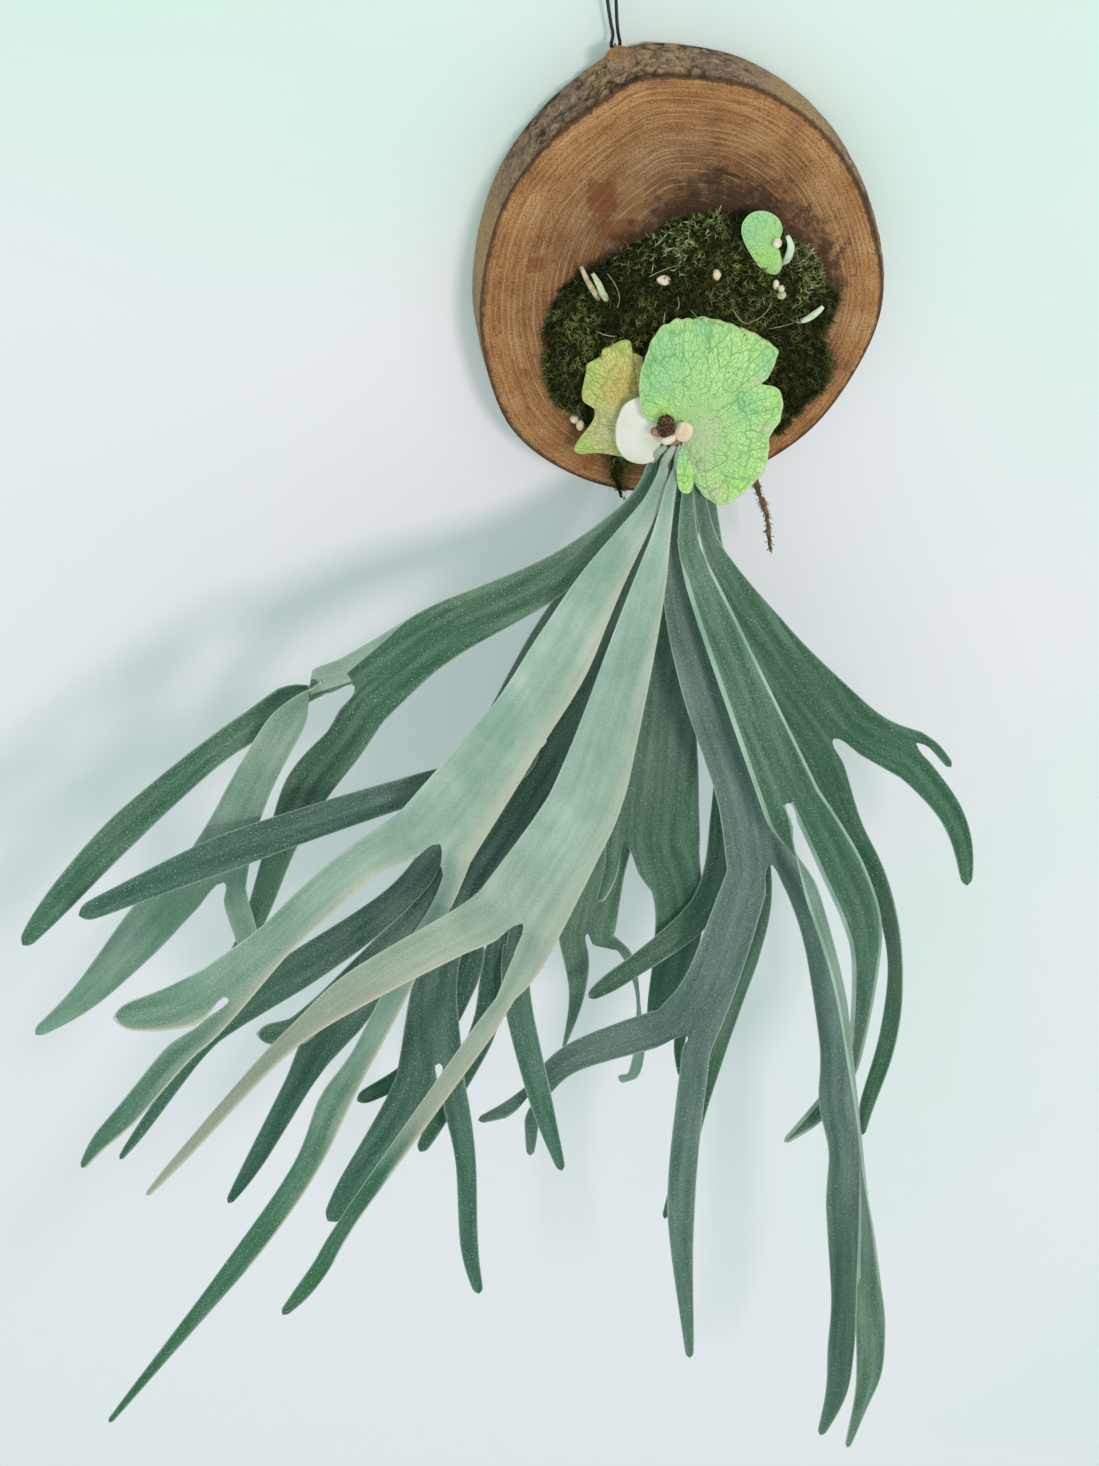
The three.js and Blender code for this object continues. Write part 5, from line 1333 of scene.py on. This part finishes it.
def shield(name, plan, material, slot, replaces, rows=46, steps=9):
    """A thin domed sheet from plan["apex"] to plan["rim"], with the places of its tints."""
    corner = place(plan["apex"])
    x, out, z = plan["facing"]
    front = np.array([x, -out, z]) / np.linalg.norm([x, out, z])
    rim = smooth_line([place(p) for p in plan["rim"]], steps)
    run = np.append(0, np.cumsum(np.linalg.norm(np.diff(rim, axis=0), axis=1))) / MM
    scallop = 0.5 * np.sin(run / 8.5 * math.tau + 2 * wander(rim, 20, 3)) + wander(rim, 9, 6)
    scallop *= 0.35 + soft_spots(rim[:, 0] / MM, rim[:, 2] / MM, [(-16, -14, 20)])
    points, shares = [], np.linspace(0.01, 1, rows) ** 0.85
    for share in shares:
        flat = corner + (rim - corner) * (share + 0.015 * plan["waves"] * share**6 * scallop)[:, None]
        lift = plan["bulge"] * 4 * share * (1 - share) + plan["waves"] * share**4 * scallop
        for swell_x, swell_z, reach, height in plan["swells"]:
            lift = lift + height * soft_spots(flat[:, 0] / MM, flat[:, 2] / MM, [(swell_x, swell_z, reach)])
        lift += 0.35 * share * wander(flat, 8, 2)
        points.append(flat + front * lift[:, None] * MM)
    points = np.vstack(points)
    x, z = points[:, 0] / MM, points[:, 2] / MM
    from_x, from_z, gap = plan["veins"]
    angle = (np.arctan2(z - from_z, x - from_x) - math.radians(gap)) % math.tau
    reach = np.hypot(x - from_x, z - from_z) + 1.5
    uv = np.stack([angle * VEIN_SPREAD, np.log(reach) * VEIN_SPREAD / VEIN_LENGTH], 1)
    piece = new_piece(
        name, points, grid_faces(rows, len(rim)), [material], slot, replaces, uv=uv,
        share=np.repeat(shares, len(rim)),
        **{tint: 0.7 * soft_spots(x, z, plan[tint]) for tint in ("cool", "faded", "warm")}
    )
    solid = piece.modifiers.new("thickness", "SOLIDIFY")
    solid.thickness, solid.offset = SHIELD_THICKNESS * MM, 0
    return piece


print("cells 60 mm from the crown are", round(60 / VEIN_SPREAD, 1), "mm wide")

# %% [markdown]
# A shield is a living leaf: smooth, a little waxy, with sunken darker veins and swellings
# between them that carry a painted highlight of lighter green. Old ones yellow and brown from
# the middle, and a new one comes up nearly white with down, with no net to be seen yet.

# %% Shield materials


def shield_skin(name, base, cool, faded, warm, vein, rim, net=1.0, roughness=0.5):
    """A netted leaf. base is its two greens, and each tint replaces them where it is painted."""
    material, add, at, surface = new_material(
        name, "spot share cool faded warm", Roughness=roughness, Specular_IOR_Level=0.3, Sheen_Weight=0.15
    )
    fan = add("UVMap")
    shake = add("TexNoise", {"Vector": fan, "Scale": 0.7, "Detail": 1})
    bent = add("VectorMath", [shake.outputs["Color"], fan], operation="ADD")
    cells = add("TexVoronoi", {"Vector": bent, "Scale": 1}, feature="DISTANCE_TO_EDGE")
    ribs = add("TexVoronoi", {"Vector": bent, "Scale": 0.2}, feature="DISTANCE_TO_EDGE")
    thin = add("MapRange", [cells, 0, 0.1, 1, 0])
    thick = add("MapRange", [ribs, 0.01, 0.045, 1, 0])
    veins = add("Math", [thin, thick], operation="MAXIMUM")
    cloud = add("TexNoise", {"Vector": at.spot, "Scale": 90, "Detail": 3})
    colour = add("ValToRGB", [cloud], stops=[(0.35, base[0]), (0.65, base[1])])
    # painted highlight on the swelling middle of each cell between the veins
    swell_highlight = add("MapRange", [cells, 0.1, 0.45, 0, 0.22 * net])
    away = add("MapRange", [at.share, 0.7, 1, 0.85 * net, 0.6 * net])
    strength = add("Math", [veins, away], operation="MULTIPLY")
    edge = add("MapRange", [at.share, 0.965, 0.99, 0, 0.7])
    for share, code in (
        (at.cool, cool), (at.faded, faded), (at.warm, warm),
        (swell_highlight, "#e2fbb4"), (strength, vein), (edge, rim),
    ):
        colour = add("Mix", {0: share, 6: colour, 7: code}, data_type="RGBA")
    raised = add("MapRange", {0: veins, 3: 1, 4: 0})
    surface(colour, raised, 0.3 * net, 0.0007)
    return material


green_shield = shield_skin(
    "living_shield_leaf", ("#afda88", "#bfe695"), "#8fcf9c", "#cfc7ac", "#bbe670", "#6ba465", "#d2e6a4"
)
old_shield = shield_skin(
    "yellowing_shield_leaf", ("#d0cc72", "#dad585"), "#a0cf62", "#cfc2a4", "#d6a55c", "#939a58", "#b6c566"
)
new_shield = shield_skin(
    "downy_new_shield", ("#f3ece2", "#f9f3ec"), "#cbdac0", "#decfb8", "#e2dfc4", "#cdcfba", "#e0d8b6",
    0.1, 0.8
)

print("shield skins:", green_shield.name, old_shield.name, new_shield.name)

# %% The five shields
MAIN_SHIELD = {
    "apex": (-17, 98, -59), "facing": (0, 0.95, 0.3), "bulge": 2.5, "waves": 1.3,
    "rim": [
        (-29, 97.5, -55), (-36, 95, -53), (-38, 88, -46), (-37, 80, -34), (-32, 73, -23), (-28, 69, -17),
        (-22, 66, -11), (-12, 64, -9), (3, 63, -9), (20, 63, -15), (35, 63, -23), (44, 63, -31),
        (44, 65, -35), (39, 70, -44), (35, 73, -48), (43, 72, -51), (47, 74, -58), (45, 78, -69),
        (39, 82, -76), (38, 84, -85), (36, 86, -97), (28, 88, -105), (19, 91, -111), (11, 93, -114),
        (2, 94, -109), (-4, 95.5, -101), (-8, 97.5, -91), (-9, 99.5, -79)
    ], "veins": (-10, -62, 200),
    "swells": [(25, -52, 11, -3.2), (36, -38, 9, 1.5), (36, -66, 10, 1.8), (-3, -90, 7, -2)],
    # the cool spots at (24, -56) and (38, -38), by the right notch, are painted shade in the fold there; the
    # others are the leaf's own bluish green
    "cool": [(-24, -24, 17), (-29, -38, 10), (24, -56, 9), (38, -38, 8), (0, -14, 8)],
    "faded": [(-3, -66, 14), (-5, -84, 9), (6, -104, 7), (36, -71, 4), (31, -44, 4)],
    "warm": [(-27, -50, 7), (22, -105, 10), (42, -84, 7), (45, -58, 4)]
}
LEFT_SHIELD = {
    "apex": (-33.8, 77, -76), "facing": (0, 0.95, 0.3), "bulge": 0.8, "waves": 1.0,
    "rim": [
        (-33, 64, -31), (-40, 60.5, -28), (-40, 59.5, -23), (-44, 59, -22), (-55, 58.5, -27),
        (-57, 58.5, -32), (-64, 58.5, -36), (-65, 58.5, -42), (-67, 58, -54), (-66, 58, -60),
        (-60, 59, -64), (-61, 59, -73), (-70, 58, -87), (-70, 59, -93), (-57, 62, -92), (-43, 67, -93)
    ], "veins": (-27, -74, 0), "swells": [(-52, -62, 7, 1.2)],
    "cool": [(-44, -25, 7), (-63, -44, 9), (-67, -90, 8)], "faded": [(-48, -70, 12), (-56, -78, 8)],
    "warm": [(-40, -44, 11), (-50, -50, 8), (-34, -36, 7)]
}
YOUNG_SHIELD = {
    "apex": (-25, 96.8, -64), "facing": (-0.25, 0.92, 0.3), "bulge": 1.5, "waves": 0.25,
    "rim": [
        (-30, 92, -83), (-36, 87, -87), (-44, 83, -86), (-49, 79, -80), (-50, 77, -71), (-49, 77, -63),
        (-45, 78, -53), (-37, 80, -48), (-31, 81, -49)
    ], "veins": (-25, -64, 0), "swells": [], "cool": [(-31, -71, 6)], "faded": [(-27, -66, 7)],
    "warm": [(-38, -86, 5)]
}
SHIELD_FLAP = {
    "apex": (-15, 103, -64.8), "facing": (0, 0.98, 0.1), "bulge": 1, "waves": 0.3,
    "rim": [
        (-18, 104.8, -71), (-19, 106, -83), (-17, 106, -95), (-11, 104.5, -98), (-9, 104, -90),
        (-11, 103, -80)
    ], "veins": (-14, -55, 90), "swells": [], "cool": [(-18, -74, 5)], "faded": [(-13, -66, 4)],
    "warm": [(-14, -88, 7)]
}
PUP_SHIELD = {
    "apex": (42, 57, 31), "facing": (0, 0.9, 0.44), "bulge": 1.5, "waves": 0.15,
    "rim": [
        (44.2, 56.5, 35.5), (45, 56.5, 40), (43, 56, 45.5), (38, 56, 49.6), (32, 56, 51.2),
        (26.3, 56, 49.3), (22.8, 56, 44.5), (22.4, 56, 39), (24.5, 56, 32.4), (28.2, 56, 25.6),
        (33.2, 56, 18), (38.5, 55.5, 13.6), (43.2, 55.5, 12.2), (45.6, 56, 15.5), (45.6, 56.5, 20.5),
        (44, 57, 26)
    ], "veins": (42, 31, 10), "swells": [], "cool": [(25, 38, 10), (32, 48, 9)], "faded": [],
    "warm": [(36, 22, 7)]
}
for name, plan, material, slot, node in (
    ("living_shield", MAIN_SHIELD, green_shield, "green_shield", "shield_main"),
    ("yellowing_shield", LEFT_SHIELD, old_shield, "old_shield", "shield_left"),
    ("new_white_shield", YOUNG_SHIELD, new_shield, "pale_shield", "shield_young"),
    ("shield_tongue", SHIELD_FLAP, green_shield, "green_shield", "shield_flap"),
    ("pup_round_shield", PUP_SHIELD, green_shield, "green_shield", "pup_shield"),
):
    piece = shield(name, plan, material, slot, [node])
    print(name, len(piece.data.polygons), "faces before its thickness")

# %% [markdown]
# ## Crown and pups
#
# All stalks and shields start from the crown, a short stem packed in brown papery scales.
# Buds sit on it, and more buds and young plants, called pups, come up through the moss. Buds
# are egg shapes with a little unevenness, which is enough at their size, and the papery scales
# are planted on like the moss.

# %% Eggs and the crown's body


def egg(centre_mm, half_mm, lumps=0.06, sides=22, seed=0, tilt=0.0):
    """Points in metres and faces of a closed egg round [x, out, z], with its half sizes."""
    rings = sides // 2
    lean = np.array([[math.cos(tilt), 0, math.sin(tilt)], [0, 1, 0], [-math.sin(tilt), 0, math.cos(tilt)]])
    points = [(0, 0, 1)]
    for ring in range(1, rings):
        drop = math.pi * ring / rings
        for turn in np.arange(sides) * math.tau / sides:
            x, y = math.sin(drop) * math.cos(turn), math.sin(drop) * math.sin(turn)
            points.append((x, y, math.cos(drop)))
    points = np.array([*points, (0, 0, -1)]) * half_mm @ lean.T
    points *= 1 + lumps * wander(points * MM, 3, seed)[:, None]
    faces = fan_faces(0, 1, sides)
    faces += [face[::-1] for face in grid_faces(rings - 1, sides, closed=True, start=1)]
    faces += fan_faces(len(points) - 1, 1 + (rings - 2) * sides, sides, turned=True)
    return place(centre_mm) + points * MM, faces


CROWN_OUTLINE = [
    # x and the distance from the wall, round the crown's foot
    (-33, 80), (-32, 87), (-28, 90.5), (-26.5, 96), (-21, 99.5), (-16, 101), (-12, 96), (-7, 91),
    (-1, 87), (5, 78), (6, 71), (0, 66), (-12, 64.5), (-25, 68),
]
CROWN_LEVELS = [
    # level, size as a share of the foot, and how far the middle moves forward
    (-79, 0.6, 0), (-79, 1, 0), (-74, 1, 0), (-67, 0.93, 1), (-61, 0.72, 1.5), (-56, 0.42, 0),
    (-53, 0.18, -3),
]
CROWN_MIDDLE = np.array([-14, 82])
foot = smooth_line(CROWN_OUTLINE, 5, closed=True)
levels = smooth_line(CROWN_LEVELS, 4)
crown_rows = []
for z, share, shift in levels:
    flat = CROWN_MIDDLE + (foot - CROWN_MIDDLE) * share + np.array([0, shift])
    crown_rows.append(place(np.insert(flat, 2, z, axis=1)))
crown_points = np.vstack(crown_rows)
middle = np.array([CROWN_MIDDLE[0], -CROWN_MIDDLE[1], 0]) * MM
uneven = 1 + 0.03 * wander(crown_points, 5, 1)
crown_points[:, :2] = middle[:2] + (crown_points[:, :2] - middle[:2]) * uneven[:, None]
ends = [[*middle[:2], -0.079], [*middle[:2], -0.052]]
count = len(foot)
crown_faces = grid_faces(len(levels), count, closed=True)
crown_faces += fan_faces(len(crown_points), 0, count, turned=True)
crown_faces += fan_faces(len(crown_points) + 1, (len(levels) - 1) * count, count)
print("crown body:", len(crown_faces), "faces")

# %% Crown, bud and pup materials
# Papery crown scales: dry brown and matt, and darker where the relief is low, as painted shade in the folds.
crown_bark, add, at, surface = new_material(
    "papery_brown_scales", "spot", Roughness=0.8, Specular_IOR_Level=0.2
)
grit = add("TexNoise", {"Vector": at.spot, "Scale": 700, "Detail": 4})
tone = add("ValToRGB", [grit], stops=[(0.35, "#3a2418"), (0.55, "#6a452c"), (0.7, "#96704c")])
surface(tone, grit, 0.8, 0.001)

# One chaffy scale of the dark bud: nearly black at its foot, with a pale torn tip.
chaff, add, at, surface = new_material("dark_chaff", "tip shade", Roughness=0.45, Specular_IOR_Level=0.4)
dark = add("ValToRGB", [at.shade], stops=[(0.2, "#2a1712"), (0.7, "#4d3226"), (1, "#8a7a5a")])
worn = add("MapRange", [at.tip, 0.5, 1, 0, 0.6])
surface(add("Mix", {0: worn, 6: dark, 7: "#9c8a68"}, data_type="RGBA"))


def downy(name, low, high, grain=900.0):
    """Young tissue under short down: matt, pale, finely speckled."""
    material, add, at, surface = new_material(
        name, "spot", Roughness=0.85, Specular_IOR_Level=0.2, Sheen_Weight=0.3
    )
    fine = add("TexNoise", {"Vector": at.spot, "Scale": grain, "Detail": 3})
    wide = add("TexNoise", {"Vector": at.spot, "Scale": 160, "Detail": 2})
    both = add("Mix", {0: 0.6, 2: fine, 3: wide})
    tone = add("ValToRGB", [both], stops=[(0.38, low), (0.62, high)])
    surface(tone, fine, 0.5, 0.0005)
    return material


pink_down = downy("pinkish_down", "#e0c4a0", "#f6ead2")
brown_down = downy("brown_down", "#8c5c4a", "#bd9078")
cream_down = downy("cream_down", "#dcc8a4", "#f8f0dc")
green_down = downy("pale_green_down", "#a8b486", "#dde2c4")
white_down = downy("white_green_down", "#b9cfa4", "#e8eedc")
brown_stalk = downy("withered_stalk", "#b3956c", "#e8dabc")
straw_stem = downy("dead_stem", "#8c8a5a", "#c3bd92")

print("downy skins are painted by", len(pink_down.node_tree.nodes), "nodes each")

# %% Crown and its buds
crown = new_piece(
    "crown_body", np.vstack([crown_points, ends]), crown_faces, [crown_bark], slot="crown_scales",
    replaces=["crown"]
)
CHAFF = [((0, 0, 0), (0.9, 0.2, 3.0), 1.3), ((0.3, 0, 0), (-0.8, 0.3, 2.4), 1.1)]
plant(
    "crown_scales", crown.data.copy(), 1, spikes("chaff", CHAFF), chaff,
    "crown_scales", Per_Square_Metre=1.1e5, Lean=0.8, Droop=0.0, Smallest=0.5, Largest=1.0, Seed=2
)
dark_bud = egg((-25.5, 104.3, -54.5), (4.8, 4.2, 6.6), lumps=0.12, seed=4)
dark = new_piece("dark_scaly_bud", *dark_bud, [crown_bark], slot="crown_scales", replaces=["crown_buds"])
SCALE = [((-0.1, 0, -0.4), (0.9, 0.1, 1.6), 1.9), ((0.2, 0.2, 0), (-0.6, 0.5, 1.4), 1.5)]
plant(
    "dark_bud_scales", dark.data.copy(), 1, spikes("bud_scale", SCALE), chaff,
    "crown_scales", Per_Square_Metre=9e5, Lean=0.9, Droop=0.0, Smallest=0.5, Largest=0.9, Seed=6
)
round_bud = egg((-15.6, 104, -58.6), (5.6, 4.1, 6.0), lumps=0.04, seed=1, tilt=0.2)
new_piece("round_pink_bud", *round_bud, [pink_down], slot="buds")
white_nub = egg((-24.5, 105.2, -62), (4.6, 3.4, 2.9), 0.2, seed=7, tilt=-0.5)
new_piece("white_nub", *white_nub, [cream_down], slot="buds")
NUBS = (((-30, 101.5, -59), (3.8, 3.2, 3.4), 9), ((-20, 99.5, -65.5), (6, 3.8, 3), 3))
nubs = merge([egg(centre, half, 0.2, seed=seed) for centre, half, seed in NUBS])
new_piece("brown_nubs", *nubs, [brown_down], slot="buds")
# the feet of the three front stalks clasp the crown and hide most of its front
STALK_FEET = (
    # the radii of each foot, and its route
    ([1.7, 2.5, 2.4, 1.5], (-24.5, 94.5, -87), (-24, 97.5, -80), (-22.4, 100.4, -74), (-20, 101.6, -68.5)),
    ([1.7, 2.5, 2.4, 1.5], (-17, 98, -87), (-17.4, 100.8, -80), (-17.4, 102.4, -74), (-16.6, 102.8, -67.5)),
    ([1.8, 2.6, 2.4, 1.4], (-29, 84.5, -87), (-29, 90, -81), (-27.6, 95.5, -75), (-24.5, 99.5, -70)),
)
feet = merge([rod(route, radii, sides=14) for radii, *route in STALK_FEET])
new_piece("stalk_feet", *feet, [silver_skin], slot="silver_frond", felt=0.85, margin=1, warm=0.45)

# %% Pups in the moss
PUP_STRAPS = (
    ("pup_second_leaf", "pup_leaf", "green_shield", white_down, [1.9, 2.1, 2, 1.2],
     [(47, 51.5, 17), (49.3, 57, 22), (50, 60, 31), (47.8, 59.5, 37)]),
    ("withered_pup_stalk", "pup_strap_brown", "crown_scales", brown_stalk, [1.5, 1.7, 1.5, 1.0],
     [(-57, 51, 0), (-60, 53.5, 6), (-64, 52, 13), (-67, 49, 20)]),
    ("green_pup_stalk", "pup_strap_green", "pale_shield", green_down, [1.9, 2, 1.8, 1.1],
     [(-53, 53, 1), (-55.5, 56, 6), (-58, 55, 12), (-61, 52.5, 17)]),
    ("white_pup_leaf", "pup_strap_right", "pale_shield", white_down, [1.0, 1.6, 1.9, 1.1],
     [(57, 54, -19), (61, 58.5, -16), (66, 60, -12), (71, 59, -8)]),
)
for name, node, slot, material, radii, route in PUP_STRAPS:
    strap = rod(route, radii, steps=8, sides=14, lumps=0.15)
    new_piece(name, *strap, [material], slot=slot, replaces=[node])
PUP_BUDS = (
    # each bud's name, its material, the node it stands for, and the middle and half sizes of its eggs
    ("tan_bud", cream_down, ["bud_tan"], ((-21, 57.5, 13), (4.1, 2.8, 2.9))),
    ("pink_bud", pink_down, ["bud_pink"], ((9, 58, 15), (2.3, 2.4, 3.2))),
    ("pale_bud", cream_down, ["bud_pair"], ((43.3, 56.5, 6), (1.9, 2.3, 3)), ((46.4, 57, 3.6), (2, 2.2, 2))),
    ("green_bud", green_down, [], ((46.8, 57, -0.3), (2.7, 2.4, 2.4))),
    ("low_buds", cream_down, ["bud_low"], ((-70.5, 49.5, -76), (2.6, 2.9, 2.5)),
     ((-67, 50, -80), (2.5, 2.9, 3.2))),
    ("pup_shield_bud", cream_down, [], ((42, 60, 33), (2.7, 2.7, 3.1))),
)
for seed, (name, material, nodes, *eggs) in enumerate(PUP_BUDS):
    shape = merge([egg(centre, half, 0.15, seed=seed) for centre, half in eggs])
    new_piece(name, *shape, [material], slot="buds", replaces=nodes)
print("leaves and buds of the pups:", len(PUP_STRAPS) + len(PUP_BUDS))

# %% Root strand and long dead stems
# A root hangs free under the moss, dark and beaded. Thin dead stems lie over the moss.
root_bark = downy("dry_root", "#3a2a1a", "#8a6a46", 500.0)
ROOT = [
    (30, 46, -88), (33, 53, -100), (36, 59, -112), (38, 61, -124), (42, 62, -134), (45, 62, -145),
    (46, 62, -155), (48, 62, -167),
]
root = rod(ROOT, [2.2, 2.1, 1.9, 1.5, 1.7, 1.2, 1.4, 0.8], steps=12, sides=10, lumps=0.7, seed=2)
root_strand = new_piece("root_strand", *root, [root_bark], slot="moss")
plant(
    "root_hairs", root_strand.data.copy(), 1, spikes("leafy_root_hair", LEAFY_SHOOT),
    straw_moss, "moss", Per_Square_Metre=2.5e5, Lean=0.7, Droop=0.4, Smallest=0.4, Largest=0.9, Seed=4
)
DEAD_STEMS = 16
draw = random.Random(11)
stems = []
for _ in range(DEAD_STEMS):
    turn, reach = draw.uniform(0, math.tau), math.sqrt(draw.uniform(0.04, 0.6))
    start = MOSS_CENTRE + np.array([math.cos(turn) * 78, math.sin(turn) * 70]) * reach
    heading, length, bend = draw.uniform(0, math.pi), draw.uniform(8, 20), draw.uniform(-0.9, 0.9)
    route = []
    for part in np.linspace(0, 1, 5):
        step = np.array([math.cos(heading + bend * part), math.sin(heading + bend * part)]) * length * part
        spot = start + step
        share = min(0.97, np.linalg.norm((spot - MOSS_CENTRE) / [80, 72]))
        out = moss_out(spot[None], share)[0] + 2.2 + 2.5 * math.sin(math.pi * part)
        route.append((spot[0], out, spot[1]))
    stems.append(rod(route, [0.24] * 5, steps=3, sides=5))
new_piece("dead_stems", *merge(stems), [straw_stem], slot="moss")
print("dead stems:", len(stems))

# %% [markdown]
# ## Hanging wire
#
# A black coated wire of 2 mm runs from the staple up to the nail and back. It is taut, and its
# route is the frame's own, point by point, so it stays inside the solid that stands for it.

# %% Wire and staple
# Steel wire in a black lacquer: the coat is smooth and glossy, with a few dull scuffs.
coated_wire, add, at, surface = new_material(
    "black_lacquered_wire", "spot", Coat_Weight=0.6, Coat_Roughness=0.12
)
scuffs = add("TexNoise", {"Vector": at.spot, "Scale": 350, "Detail": 3})
lacquer = add("ValToRGB", [scuffs], stops=[(0.5, "#0d0e0f"), (0.72, "#2c2e30")])
gloss = add("MapRange", [scuffs, 0.4, 0.7, 0.22, 0.5])
surface(lacquer, Roughness=gloss)
for slot_of_node in bpy.data.objects["wire_staple"].material_slots:
    slot_of_node.material = coated_wire

WIRE_DIAMETER = 0.002
WIRE_ROUTE = np.array([
    (-42.8, -8, 129.8), (-41.3, -8, 130.7), (-40.8, -8, 133.2), (-41.6, -8, 137.2), (-42.6, -8, 145),
    (-43.3, -8, 157), (-44, -8, 166), (-46.4, -8, 171), (-49, -8, 166.5), (-48, -8, 157), (-46.1, -8, 145),
    (-44.8, -8, 137.2), (-45.6, -8, 133.2), (-45.1, -8, 130.7), (-43.6, -8, 129.8),
]) * MM
curve = bpy.data.curves.new("hanging_wire_line", "CURVE")
curve.dimensions = "3D"
curve.bevel_depth = WIRE_DIAMETER / 2
curve.bevel_resolution = 4
curve.use_fill_caps = True
spline = curve.splines.new("BEZIER")
spline.bezier_points.add(len(WIRE_ROUTE) - 1)
for point, spot in zip(spline.bezier_points, WIRE_ROUTE):
    point.co = spot
    point.handle_left_type = point.handle_right_type = "AUTO"
curve.materials.append(coated_wire)
wire = settle(put("hanging_wire_line", curve), ["hanging_wire"])

# %% [markdown]
# ## Star hairs on the fronds
#
# Under a lens the felt of a staghorn frond is thousands of flat star-shaped hairs. They stand
# thickest along the margins and wherever the felt is not worn, so each blade is planted with
# small crossed needles by its own felt number. Real ones are 0.3 mm wide and are drawn about
# 1 mm wide, far fewer than grow on the plant, so that they show.

# %% Star hairs
star_hair = new_material("white_star_hairs", Roughness=0.9, Specular_IOR_Level=0.2, Base_Color="#c8d6cc")[0]
STAR = [((-0.42, -0.1, 0.12), (0.5, 0.1, 0.3), 0.2), ((0.12, -0.44, 0.12), (-0.1, 0.46, 0.28), 0.2)]
star = spikes("star", STAR)
hair_faces = 0
for seed, (node, _, skin, *_) in enumerate(FRONDS):
    blade_mesh = bpy.data.objects[node + "_blade"].data.copy()
    values = {label: np.zeros(len(blade_mesh.vertices), np.float32) for label in ("felt", "margin")}
    for label, array in values.items():
        blade_mesh.attributes[label].data.foreach_get("value", array)
    cover = np.clip(0.15 + values["felt"], 0.15, 0.9) + 0.8 * np.exp(-values["margin"] / 2)
    slot = "silver_frond" if skin is silver_skin else "green_frond"
    hairs = plant(
        node + "_hairs", blade_mesh, cover, star, star_hair, slot,
        Per_Square_Metre=1.3e5, Lean=0.3, Droop=0.0, Smallest=0.6, Largest=1.2, Seed=seed,
    )
    hair_faces += len(hairs.data.polygons)
print("hair faces in all:", hair_faces)
